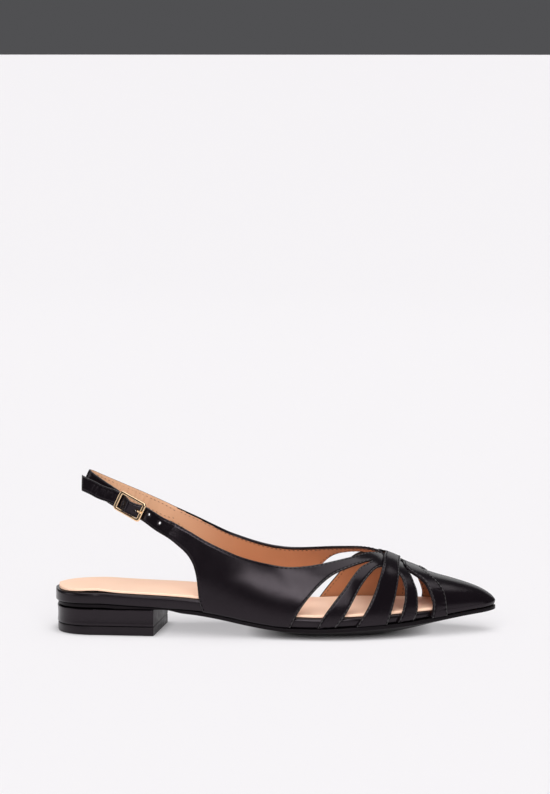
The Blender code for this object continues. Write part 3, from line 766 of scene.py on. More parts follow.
@dataclass
class HalfPattern:
    """One half of the upper's flat pattern, with its strap, and the way it sits on the last.

    Flat coordinates are the length along the foot, stretched round the tip of the toe, and the
    share of the girth times a nominal girth. Past a slanting seam the strap runs on straight.
    """

    last: Last
    side: Side
    strap_path: np.ndarray
    strap_trim: Columns
    buckle_node: int
    nominal_girth: float = NOMINAL_GIRTH
    unroll_x: float = 118.0
    unroll_long: float = 36.0
    edge_spacing: float = 0.85
    grid_spacing: float = 1.7
    strap_spacing: float = 0.55
    girth_spacing: float = 1.15
    tip_slant: float = 0.0

    def __post_init__(self) -> None:
        """Sets the seam and the strap."""
        self.topline = TOPLINE[self.side.name.lower()]
        self.rear_rise = float(self.topline[0] / TOPLINE["lateral"][0])
        rear_girth = REAR_EDGE["girth"][-1] * self.rear_rise
        self.low = np.array([REAR_EDGE["x"][-1], rear_girth * self.nominal_girth])
        self.high = np.array([TOPLINE["x"][0], self.topline[0] * self.nominal_girth])
        self.across = self.high - self.low
        self.seam_long = float(np.linalg.norm(self.across))
        self.rearward = np.array([-self.across[1], self.across[0]]) / self.seam_long
        seam = self.low + self.across * np.linspace(0, 1, 9)[:, None]
        sense = 1 if self.side is Side.LATERAL else -1
        self.strap = Strap(self.on_last(seam), self.strap_path, self.strap_trim, self.buckle_node, sense)
        self.sign = -self.side.value

    def unrolled(self, x: np.ndarray | float) -> np.ndarray:
        """Returns the flat length at stations x."""
        left = np.clip((self.last.toe_x - x) / (self.last.toe_x - self.unroll_x), 0, 1)
        return np.minimum(x, self.unroll_x) + self.unroll_long * (1 - np.sqrt(left))

    def rolled(self, length: np.ndarray) -> np.ndarray:
        """Returns the stations x at flat lengths."""
        left = 1 - np.clip((length - self.unroll_x) / self.unroll_long, 0, 1)
        return np.minimum(length, self.unroll_x) + (self.last.toe_x - self.unroll_x) * (1 - left**2)

    def on_last(self, flat: np.ndarray) -> np.ndarray:
        """Returns points of the pattern in front of the seam, set on the last."""
        return self.last.wall(self.rolled(flat[:, 0]), flat[:, 1] / self.nominal_girth, self.side)

    def strap_flat(self, run: np.ndarray, share: np.ndarray) -> np.ndarray:
        """Returns the flat points of places on the strap."""
        return self.low + np.outer(share, self.across) + np.outer(run, self.rearward)

    def place(self, flat: np.ndarray) -> np.ndarray:
        """Sets the pattern on the last, and its strap along the strap's path.

        Args:
            flat: Flat points.

        Returns:
            Points of the upper's outer face.
        """
        run = (flat - self.low) @ self.rearward
        share = (flat - self.low) @ self.across / self.seam_long**2
        points = np.zeros((len(flat), 3))
        behind = run > 0
        if behind.any():
            points[behind] = self.strap.at(run[behind], share[behind])
        if (~behind).any():
            points[~behind] = self.on_last(flat[~behind])
        return points

    def slopes(self, flat: np.ndarray, reach: float = 0.4) -> tuple[np.ndarray, np.ndarray]:
        """Returns how the face's points move with each flat coordinate."""
        step = np.array([[reach, 0], [0, reach]])
        return tuple((self.place(flat + s) - self.place(flat - s)) / (2 * reach) for s in step)

    def outward(self, flat: np.ndarray, joined: np.ndarray) -> np.ndarray:
        """Works out which way is out of the leather.

        Args:
            flat: Flat points.
            joined: Which of them lie where the halves join.

        Returns:
            A direction for each point.
        """
        along, up = self.slopes(flat)
        out = self.sign * np.cross(along, up)
        out[joined, 1] = 0
        return unit(out)

    def edge(self, rows: Columns, column: str, girths: np.ndarray) -> np.ndarray:
        """Returns flat points along one edge of a pattern table."""
        x = smooth(rows["girth"], rows[column], girths)
        return np.stack([self.unrolled(x), girths * self.nominal_girth], axis=1)

    def notch(self, rows: Columns) -> np.ndarray:
        """Returns the flat outline of a gap between two straps, from its front foot to its rear foot."""
        girths = rows["girth"][-1] * (1 - np.linspace(1, 0, 90) ** 1.6)
        return np.concatenate([self.edge(rows, "front", girths), self.edge(rows, "rear", girths[-2::-1])])

    def level(self, girth: float, lengths: np.ndarray) -> np.ndarray:
        """Returns flat points at one share of the girth."""
        return np.stack([lengths, np.full(len(lengths), girth * self.nominal_girth)], axis=1)

    def collar(self) -> np.ndarray:
        """Returns the flat points of the topline, from the seam to the throat."""
        x = np.linspace(TOPLINE["x"][0], TOPLINE["x"][-1], 160)
        return np.stack([x, smooth(TOPLINE["x"], self.topline, x) * self.nominal_girth], axis=1)

    def flare(self, base: np.ndarray) -> np.ndarray:
        """Works out how far the leather stands out where it comes upright below the topline.

        Args:
            base: Points of the face.

        Returns:
            The distance at each point.
        """
        edge = self.place(self.collar())
        x = np.clip(base[:, 0], TOPLINE_FLARE["x"][0], TOPLINE_FLARE["x"][-1])
        high, reach = (smooth(TOPLINE_FLARE["x"], TOPLINE_FLARE[c], x) for c in ("high", "reach"))
        return high * np.clip(1 - distance_to(base, edge[:-1], edge[1:]) / reach, 0, 1) ** 2

    def lines(self) -> list[EdgeLine]:
        """Draws the pattern's outline.

        Returns:
            Its stretches in order, from the toe's tip round the feather edge.
        """
        tip = self.unroll_x + self.unroll_long
        near = self.side is Side.LATERAL
        gaps = [self.notch(rows) for rows in (TOE_GAP, INSTEP_GAP if near else MEDIAL_INSTEP_GAP,
                                              QUARTER_GAP if near else MEDIAL_QUARTER_GAP)]
        feet = [tip, *(float(v) for gap in gaps for v in (gap[0, 0], gap[-1, 0])), float(REAR_EDGE["x"][0])]
        found = []
        for k in range(4):
            foot = np.linspace(feet[2 * k], feet[2 * k + 1], 60)
            found.append(EdgeLine(EdgeKind.FEATHER, self.level(0, foot)))
            if k < 3:
                found.append(EdgeLine(EdgeKind.CUT, gaps[k]))
        rear = self.edge(REAR_EDGE, "x", np.linspace(0, REAR_EDGE["girth"][-1], 80))
        found.append(EdgeLine(EdgeKind.CUT, rear * (1, self.rear_rise)))
        end = self.strap.length - self.tip_slant
        shares = np.linspace(0, 1, 12)
        for run, share in ((np.linspace(0, end, 120), np.zeros(120)),
                           (end + self.tip_slant * shares, shares),
                           (np.linspace(self.strap.length, 0, 120), np.ones(120))):
            found.append(EdgeLine(EdgeKind.CUT, self.strap_flat(run, share)))
        found.append(EdgeLine(EdgeKind.CUT, self.collar()))
        ridge = np.linspace(self.unrolled(TOPLINE["x"][-1]), tip - 1.2, 64)
        found.append(EdgeLine(EdgeKind.JOIN, self.level(1, ridge)))
        front = np.stack([np.full(16, tip), np.linspace(0.965, 0, 16) * self.nominal_girth], axis=1)
        found.append(EdgeLine(EdgeKind.JOIN, front))
        return found

    def leftward(self) -> float:
        """Returns 1 where the leather lies to the left of its outline in the flat, and -1 to the right."""
        x, y = np.concatenate([line.flat for line in self.lines()]).T
        return 1.0 if (x * np.roll(y, -1) - np.roll(x, -1) * y).sum() > 0 else -1.0

    def evenly(self, flat: np.ndarray) -> np.ndarray:
        """Returns a line's points spaced evenly along the shoe."""
        along = path_lengths(self.place(flat))
        reads = np.linspace(0, along[-1], max(3, round(along[-1] / self.edge_spacing) + 1))
        return np.stack([np.interp(reads, along, flat[:, c]) for c in range(2)], axis=1)

    def offset(self, flat: np.ndarray, inset: float, leftward: float) -> np.ndarray:
        """Moves a line's points sideways.

        Args:
            flat: The line's flat points.
            inset: How far, in millimetres on the shoe.
            leftward: 1 to the left of the line and -1 to its right, in the flat.

        Returns:
            The moved flat points.
        """
        along, up = self.slopes(flat)
        facing = unit(np.cross(along, up))
        tangent = unit(np.gradient(self.place(flat), axis=0))
        aside = leftward * inset * np.cross(facing, tangent)
        aa, ab, bb = (along**2).sum(1), (along * up).sum(1), (up**2).sum(1)
        pa, pb = (along * aside).sum(1), (up * aside).sum(1)
        size = np.maximum(aa * bb - ab**2, 1e-9)
        return flat + np.stack([(bb * pa - ab * pb) / size, (aa * pb - ab * pa) / size], axis=1)

    def grid(self) -> np.ndarray:
        """Sets out a staggered grid over the whole pattern.

        Returns:
            Its flat points.
        """
        found = []
        stations = np.arange(TOPLINE["x"][0] - 6, self.unroll_x + self.unroll_long, self.grid_spacing)
        for k, station in enumerate(stations):
            levels = np.arange(0.5 + 0.5 * (k % 2), self.nominal_girth, 1.0) * self.girth_spacing
            found.append(np.stack([np.full(len(levels), station), levels], axis=1))
        runs = np.arange(0.4, self.strap.length, self.strap_spacing)
        for k, run in enumerate(runs):
            shares = (np.arange(0, 6) + 0.25 + 0.5 * (k % 2)) / 6
            found.append(self.strap_flat(np.full(6, run), shares))
        flat = np.concatenate(found)
        run = (flat - self.low) @ self.rearward
        strap_points = np.arange(len(flat)) >= len(flat) - 6 * len(runs)
        return flat[strap_points | (run < -0.5)]


@dataclass
class Stitching:
    """Rows of thread stitches, as joined capsules."""

    pitch: float = 2.7
    long: float = 1.5
    radius: float = 0.3
    slant_deg: float = 7.0
    sides: int = 6

    def __post_init__(self) -> None:
        """Starts with no stitches."""
        self.verts: list[np.ndarray] = []

    def capsule(self) -> np.ndarray:
        """Draws one stitch.

        Returns:
            Its points, as lengths, sides and heights.
        """
        half = self.long / 2
        rings = ((-half, 0.35), (-half + 0.5 * self.radius, 0.85), (-half * 0.3, 1.1), (half * 0.3, 1.1),
                 (half - 0.5 * self.radius, 0.85), (half, 0.35))
        turn = np.linspace(0, 2 * math.pi, self.sides, endpoint=False)
        return np.concatenate([np.stack([np.full(self.sides, x), self.radius * r * np.cos(turn),
                                         self.radius * r * np.sin(turn)], axis=1) for x, r in rings])

    def sew(self, line: np.ndarray, out: np.ndarray) -> None:
        """Adds stitches along a line.

        Args:
            line: Points on the leather.
            out: The direction out of the leather at each point.
        """
        along = path_lengths(line)
        if len(line) < 4 or along[-1] < 2 * self.pitch:
            return
        reads = np.arange(self.pitch / 2, along[-1] - self.pitch / 2, self.pitch)

        def read(columns: np.ndarray, at: np.ndarray) -> np.ndarray:
            """Reads columns at lengths along the line."""
            return np.stack([np.interp(at, along, columns[:, c]) for c in range(3)], axis=1)

        heading = unit(read(line, reads + 0.3) - read(line, reads - 0.3))
        facing = unit(read(out, reads))
        aside = np.cross(facing, heading)
        turn = math.radians(self.slant_deg)
        heading, aside = (math.cos(turn) * heading + math.sin(turn) * aside,
                          math.cos(turn) * aside - math.sin(turn) * heading)
        axes = np.stack([heading, aside, facing], axis=1)
        self.verts.append(read(line, reads)[:, None] + np.einsum("pk,nkc->npc", self.capsule(), axes))

    def piece(self, name: str, thread: bpy.types.Material) -> bpy.types.Object:
        """Joins all the stitches into one piece.

        Args:
            name: The piece's name.
            thread: The thread's finish.

        Returns:
            The piece.
        """
        verts = np.concatenate(self.verts)
        each = verts.shape[1]
        template = loft_faces(each // self.sides, self.sides)
        faces = [tuple(i + n * each for i in f) for n in range(len(verts)) for f in template]
        return mesh_piece(name, verts.reshape(-1, 3), faces, [thread])


@dataclass
class Upper:
    """Toe piece, crossing straps, quarters, buckle strap and sling, as one lined leather wall."""

    last: Last
    buckle: Buckle
    turn: EdgeTurn
    tuck_high: float = 2.6
    tuck_deep: float = 0.9
    hole_radius: float = 0.8
    hole_soft: float = 0.2
    prong_hole_radius: float = 0.55
    holes: tuple[tuple[float, float], ...] = ((-4.2, 0.0), (13.1, 1.3), (21.9, 0.6))
    prong_hole_run: float = 5.0
    strap_crease_wide: float = 0.75
    row_share: float = 0.93
    stitch_share: float = 0.6
    hole_clear: float = 0.35
    grid_clear: float = 0.5
    grid_hole_clear: float = 0.6
    # Stations where the width of the painted edge highlight changes
    edge_highlight_x: tuple[float, ...] = (-112, -100, -20, 20)
    rolled_x: tuple[float, float] = (-20, 0)
    low_cut_z: tuple[float, float] = (40, 46)
    strap_lining_run: tuple[float, float] = (-18, 4)
    creases: tuple[Crease, ...] = (
        Crease(Side.LATERAL, (-20.0, 34.0), -14, 22, 5, 0.3),
        Crease(Side.LATERAL, (8.0, 25.0), -32, 12, 4, 0.28),
        Crease(Side.LATERAL, (-42.0, 28.0), 62, 14, 4, 0.25),
    )

    def __post_init__(self) -> None:
        """Sets out both halves of the pattern."""
        shift = np.array([0, self.last.line_y, 0])
        points = {name: np.stack([rows[c] for c in "xyz"], axis=1) + shift
                  for name, rows in (("strap", STRAP_RUN), ("tip", TIP_RUN), ("sling", SLING_RUN))}
        weave, end = (self.buckle.at(self.last, rows["run"], 0, rows["lift"])
                      for rows in (WEAVE, SLING_END))
        outer = np.concatenate([points["strap"], weave, points["tip"]])
        inner = np.concatenate([points["sling"], end])
        middle = 1 + len(points["strap"]) + int(np.argmin(abs(WEAVE["run"])))
        end_middle = 1 + len(points["sling"]) + int(np.argmin(abs(SLING_END["run"])))
        self.halves = (HalfPattern(self.last, Side.LATERAL, outer, NEAR_TRIM, middle, tip_slant=4.0),
                       HalfPattern(self.last, Side.MEDIAL, inner, SLING_TRIM, end_middle))
        self.creases += tuple(self.strap_crease(*row) for row in zip(*STRAP_CREASES.values()))
        self.outer_thread = Stitching()
        self.lining_thread = Stitching(radius=0.22, long=1.2)

    def strap_crease(self, far: float, run: float, lean: float, deep: float) -> Crease:
        """Sets a crease across a strap.

        Args:
            far: 0 on the buckle strap, 1 on the sling.
            run: Its place along the strap from the buckle's middle.
            lean: Degrees that it leans from straight across.
            deep: Its depth.

        Returns:
            The crease, in the flat pattern.
        """
        half = self.halves[int(far)]
        at = half.strap.along[half.buckle_node] - half.strap.sense * run
        middle = half.strap_flat(np.array([at]), np.array([0.5]))[0]
        heading = math.degrees(math.atan2(half.across[1], half.across[0])) + lean
        return Crease(half.side, (middle[0], middle[1]), heading, 0.45 * half.seam_long,
                      self.strap_crease_wide, deep)

    def hole_loops(self, half: HalfPattern) -> list[np.ndarray]:
        """Draws the holes in the outer strap.

        Args:
            half: A half's pattern.

        Returns:
            Their flat outlines, if the half has holes.
        """
        if half.side is Side.MEDIAL:
            return []
        nodes = half.strap.along[1:2 + len(WEAVE["run"])]
        front = WEAVE["run"][0] + nodes[1] - nodes[0]
        runs = np.concatenate(([front], WEAVE["run"]))
        turn = np.linspace(0, 2 * math.pi, 20, endpoint=False)
        loops = []
        for run, across, radius in [(*hole, self.hole_radius) for hole in self.holes] + [
                (self.prong_hole_run, 0.0, self.prong_hole_radius)]:
            middle = np.interp(-run, -runs, nodes)
            share = 0.5 + (across + radius * np.sin(turn)) / half.strap.width
            loops.append(half.strap_flat(middle + radius * np.cos(turn), share))
        return loops

    def hole_segments(self, own: HalfPattern) -> tuple[np.ndarray, np.ndarray]:
        """Returns the short lines round the holes of one half."""
        rings = [own.place(loop) for loop in self.hole_loops(own)] or [np.full((1, 3), 1e3)]
        return np.concatenate(rings), np.concatenate([np.roll(ring, -1, axis=0) for ring in rings])

    def cut_segments(self, own: HalfPattern) -> tuple[np.ndarray, np.ndarray]:
        """Finds the turned edges near one half: its own, and those on the last.

        Args:
            own: The half's pattern.

        Returns:
            The first and the other ends of the short lines along them.
        """
        starts, ends = [], []
        for half in self.halves:
            for line in half.lines():
                if line.kind is EdgeKind.CUT:
                    points = half.place(half.evenly(line.flat))
                    on_last = half is own or points[:, 0].min() > TOPLINE["x"][0] - 1
                    if on_last:
                        starts.append(points[:-1])
                        ends.append(points[1:])
        return np.concatenate(starts), np.concatenate(ends)

    def half_sheet(self, half: HalfPattern, first: int) -> dict[str, list]:
        """Cuts one half, thickens it and turns its edges.

        Args:
            half: The half's pattern.
            first: The number of its first point in the whole mesh.

        Returns:
            Lists of points, faces and each face's material.
        """
        outline, joined = [], []
        for line in half.lines():
            flat = line.flat if line.kind is EdgeKind.JOIN else half.evenly(line.flat)
            outline.append(flat[:-1])
            joined.append(np.full(len(flat) - 1, line.kind is EdgeKind.JOIN))
        joined[0][0] = True
        outline, joined = np.concatenate(outline), np.concatenate(joined)
        loops = [outline, *self.hole_loops(half)]
        segments = self.cut_segments(half)
        flat = np.concatenate([*loops, self.inner_points(half, loops, segments)])
        edges, count = [], 0
        for loop in loops:
            edges += [(count + i, count + (i + 1) % len(loop)) for i in range(len(loop))]
            count += len(loop)
        points, _, faces, *_ = delaunay_2d_cdt([Vector(p) for p in flat], edges, [], 0, 1e-5)
        flat = np.array([tuple(p) for p in points])
        faces = np.array([f for f in faces if len(f) == 3])
        faces = faces[inside(flat[faces].mean(axis=1), loops)]
        joined = np.concatenate([joined, np.zeros(len(flat) - len(joined), bool)])
        return self.thicken(half, flat, faces, joined, segments, first)

    def inner_points(self, half: HalfPattern, loops: Sequence[np.ndarray],
                     segments: tuple[np.ndarray, np.ndarray]) -> np.ndarray:
        """Sets out the points inside a half: rows along its edges and round its holes, and a grid.

        Args:
            half: The half's pattern.
            loops: Its flat outline and those of its holes.
            segments: The short lines along its turned edges.

        Returns:
            The flat points.
        """
        leftward = half.leftward()
        rows = []
        for line in [x.flat for x in half.lines() if x.kind is EdgeKind.CUT]:
            for inset in self.turn.rows:
                moved = half.offset(half.evenly(line), inset, leftward)
                near = distance_to(half.place(moved), *segments)
                rows.append(moved[near > self.row_share * inset])
        rows = np.concatenate(rows)
        holes = self.hole_segments(half)
        rows = rows[distance_to(half.place(rows), *holes) > self.hole_clear]
        for loop in loops[1:]:
            rows = np.concatenate([rows, half.offset(loop, self.hole_soft, -1.0)])
        grid = half.grid()
        grid = grid[inside(grid, loops)]
        clear = distance_to(half.place(grid), *segments) > self.turn.rows[-1] + self.grid_clear
        clear &= distance_to(half.place(grid), *holes) > self.grid_hole_clear
        clear &= (grid[:, 1] > 0.8) & (grid[:, 1] < half.nominal_girth - 0.5)
        return np.concatenate([rows[inside(rows, loops)], grid[clear]])

    def thicken(self, half: HalfPattern, flat: np.ndarray, faces: np.ndarray, joined: np.ndarray,
                segments: tuple[np.ndarray, np.ndarray], first: int) -> dict[str, list]:
        """Makes an outer and an inner face of a cut half and closes them along the edges.

        Args:
            half: The half's pattern.
            flat: Its flat points.
            faces: Its flat triangles.
            joined: Which points lie where the halves join.
            segments: The short lines along its turned edges.
            first: The number of its first point in the whole mesh.

        Returns:
            Lists of points, faces and each face's material.
        """
        base = half.place(flat)
        out = half.outward(flat, joined)
        near = distance_to(base, *segments)
        pierced = self.turn.rounding(distance_to(base, *self.hole_segments(half)), self.hole_soft)
        outer = np.maximum(self.turn.outer_depth(near), pierced)
        inner = np.minimum(self.turn.inner_depth(near), self.turn.thick - pierced)
        tuck = np.clip(1 - (base[:, 2] - self.last.feather(base[:, 0])) / self.tuck_high, 0, 1) ** 2
        tuck *= (flat - half.low) @ half.rearward < 0
        bend = sum((c.depth(flat) for c in self.creases if c.side is half.side), np.zeros(len(flat)))
        sink = self.tuck_deep * tuck + bend - half.flare(base)
        outer_points = base - out * (outer + sink)[:, None]
        inner_points = base - out * (inner + sink)[:, None]
        if half.sign < 0:
            faces = faces[:, ::-1]
        count = len(flat)
        edge_highlight, lined, rolled = self.edge_layers(half, flat, base, near)
        made = [tuple(f + first) for f in faces] + [tuple(f[::-1] + first + count) for f in faces]
        # Faces in the edge band, and the walls of edges that are not rolled, take the lighter edge leather:
        # a painted highlight
        index = [2 * int(v) for v in edge_highlight[faces].all(axis=1)]
        index += [int(v) for v in lined[faces].all(axis=1)]
        directed = {(int(a), int(b)) for f in faces for a, b in zip(f, np.roll(f, -1))}
        for a, b in directed:
            if (b, a) not in directed and not (joined[a] and joined[b]):
                made.append((b + first, a + first, a + first + count, b + first + count))
                index.append(0 if rolled[a] else 2)
        return {"verts": [outer_points, inner_points], "faces": made, "index": index}

    def edge_layers(self, half: HalfPattern, flat: np.ndarray, base: np.ndarray,
                    near: np.ndarray) -> tuple[np.ndarray, np.ndarray, np.ndarray]:
        """Works out where edges carry the lighter painted highlight and how near them the lining comes.

        Args:
            half: The half's pattern.
            flat: Its flat points.
            base: The same points on the shoe.
            near: Their distances from the turned edges.

        Returns:
            Which points carry the painted edge highlight, which are lined, and which have plain rolled
            edges beside them.
        """
        turn, x = self.turn, base[:, 0]
        low_inset = np.interp(base[:, 2], self.low_cut_z, (turn.rolled, turn.lining_inset))
        inset = np.where(x > 0, low_inset, turn.lining_inset)
        on_strap = np.interp((flat - half.low) @ half.rearward, self.strap_lining_run, (0, 1))
        lined = near > on_strap * turn.rows[0] + (1 - on_strap) * inset - 0.02
        wide = np.interp(x, self.edge_highlight_x, (turn.edge_highlight_tip, turn.edge_highlight_behind,
                                               turn.edge_highlight_behind, turn.edge_highlight))
        rolled = np.interp(x, self.rolled_x, (-1, turn.rolled))
        return (near < wide + 0.01) & (near > rolled - 0.01), lined, rolled >= 0

    def sew(self) -> None:
        """Runs a stitch line along every turned edge, with its underside on the lining."""
        for half in self.halves:
            starts, ends = self.cut_segments(half)
            leftward = half.leftward()
            for line in half.lines():
                if line.kind is not EdgeKind.CUT:
                    continue
                for thread, inset, depth in (
                        (self.outer_thread, self.turn.stitch_inset, self.turn.groove_deep - 0.02),
                        (self.lining_thread, self.turn.lining_stitch_inset, self.turn.thick)):
                    moved = half.offset(half.evenly(line.flat), inset, leftward)
                    points = half.place(moved)
                    kept = distance_to(points, starts, ends) > self.stitch_share * inset
                    out = half.outward(moved, np.zeros(len(moved), bool))
                    sunk = points + (half.flare(points) - depth)[:, None] * out
                    breaks = np.flatnonzero(np.diff(kept.astype(int))) + 1
                    for run in np.split(np.arange(len(kept)), breaks):
                        if kept[run[0]]:
                            thread.sew(sunk[run], out[run])

    def build(self, leather: bpy.types.Material, lining: bpy.types.Material, edge: bpy.types.Material,
              thread: bpy.types.Material, lining_thread: bpy.types.Material) -> list[bpy.types.Object]:
        """Builds the wall and its stitching.

        Args:
            leather: The outer leather.
            lining: The lining leather.
            edge: The lighter leather along the edges, a painted highlight.
            thread: The thread on the outside.
            lining_thread: The thread on the lining.

        Returns:
            The pieces.
        """
        verts, faces, index = [], [], []
        for half in self.halves:
            made = self.half_sheet(half, sum(map(len, verts)))
            verts += made["verts"]
            faces += made["faces"]
            index += made["index"]
        wall = mesh_piece("upper_leather", np.concatenate(verts), faces, [leather, lining, edge], index)
        weld = wall.modifiers.new("join halves", "WELD")
        weld.merge_threshold = 0.03 * MM
        settle(wall, "black_leather", "upper")
        self.sew()
        return [wall, settle(self.outer_thread.piece("upper_stitching", thread), "black_leather"),
                settle(self.lining_thread.piece("lining_stitching", lining_thread), "tan_sock")]


@dataclass
class LaidStrip:
    """A leather strip laid over the vamp, from one feather edge over the ridge to the other."""

    name: str
    node: str
    last: Last
    rows: Columns
    thick: float
    turn: EdgeTurn
    puckers: tuple[tuple[float, float], ...] = ()
    pucker_inset: float = 1.2
    pucker_reach: float = 2.2
    pucker_wide: float = 0.9
    pucker_deep: float = 0.22
    steps: int = 72

    def row(self, side: Side, girth: float) -> tuple[np.ndarray, np.ndarray, np.ndarray, float]:
        """Places one row across the strip.

        Args:
            side: Which side of the shoe.
            girth: The row's share of the girth.

        Returns:
            Points, outward directions and distances from the rear edge, and the row's length.
        """
        raised = "lift" if side is Side.LATERAL else "far"
        rear, front, lift = (float(smooth(self.rows["girth"], self.rows[c], girth))
                             for c in ("rear", "front", raised))
        ends = self.last.wall(np.array([rear, front]), np.array([girth, girth]), side, lift)
        wide = float(np.linalg.norm(ends[1] - ends[0]))
        near_edge = np.array([0, *self.turn.rows])
        middle = np.linspace(near_edge[-1], wide - near_edge[-1], 8)[1:-1]
        away = np.concatenate([near_edge, middle, wide - near_edge[::-1]])
        x = rear + (front - rear) * away / wide
        level = np.full(len(x), girth)
        points = self.last.wall(x, level, side, lift)
        along = self.last.wall(x + 0.3, level, side, lift) - self.last.wall(x - 0.3, level, side, lift)
        up = (self.last.wall(x, level + 0.004, side, lift) - self.last.wall(x, level - 0.004, side, lift))
        out = -side.value * np.cross(along, up)
        if girth == 1:
            out[:, 1] = 0
        return points, unit(out), away, wide

    def build(self, leather: bpy.types.Material, lining: bpy.types.Material, edge: bpy.types.Material,
              thread: bpy.types.Material) -> list[bpy.types.Object]:
        """Builds the strip as a closed band with turned edges, and its stitch lines.

        Args:
            leather: The outer leather.
            lining: The leather of its underside.
            edge: The lighter leather along its edges, a painted highlight.
            thread: The thread of its stitch lines.

        Returns:
            The strip and its stitching.
        """
        girths = np.linspace(0, 1, self.steps)
        places = [(Side.LATERAL, g) for g in girths] + [(Side.MEDIAL, g) for g in girths[-2::-1]]
        rings, lines = [], {"rear": [], "front": []}
        for side, girth in places:
            points, out, away, wide = self.row(side, float(girth))
            inward = np.minimum(away, wide - away)
            sag = self.pucker_depth(girth, wide - away)
            outer = points - out * (self.turn.outer_depth(inward) + sag)[:, None]
            inner = points - out * (self.thick - self.turn.rounding(inward, 0.35))[:, None]
            rings.append(np.concatenate([outer, inner[::-1]]))
            inset = self.turn.stitch_inset
            for name, at in (("rear", inset), ("front", wide - inset)):
                k = int(np.argmin(abs(away - at)))
                lines[name].append((outer[k] + out[k] * 0.02, out[k]))
        faces = loft_faces(len(rings), len(rings[0]))
        across = len(rings[0]) // 2
        index = [self.layer(sorted(v % (2 * across) for v in f), across) for f in faces]
        band = mesh_piece(self.name, np.concatenate(rings), faces, [leather, lining, edge], index)
        settle(band, "black_leather", self.node)
        sewing = Stitching()
        for line in lines.values():
            sewing.sew(np.array([p for p, _ in line]), np.array([o for _, o in line]))
        return [band, settle(sewing.piece(f"{self.name}_stitching", thread), "black_leather")]

    def layer(self, places: Sequence[int], across: int) -> int:
        """Chooses a face's material.

        Args:
            places: The places of its points round the strip's section, in rising order.
            across: Points across the strip.

        Returns:
            0 for the outer leather, 1 for the lining and 2 for an edge with a painted highlight.
        """
        low, high = places[0], places[-1]
        first, last = (1 + self.turn.rows.index(v) for v in (self.turn.rolled, self.turn.edge_highlight))
        if len(places) != 4:
            return 0
        if low >= across + 3 and high < 2 * across - 3:
            return 1
        near_rear = low >= first and high <= last
        near_front = low >= across - 1 - last and high <= across - 1 - first
        return 2 if near_rear or near_front else 0

    def pucker_depth(self, girth: float, from_front: np.ndarray) -> np.ndarray:
        """Works out the gathers along the front edge.

        Args:
            girth: The row's share of the girth.
            from_front: Distances from the front edge.

        Returns:
            The gathers' depth at those distances.
        """
        reach = np.exp(-((from_front - self.pucker_inset) / self.pucker_reach) ** 2)
        wave = sum(deep * math.exp(-(((girth - at) * NOMINAL_GIRTH / self.pucker_wide) ** 2))
                   for at, deep in self.puckers)
        return self.pucker_deep * wave * reach


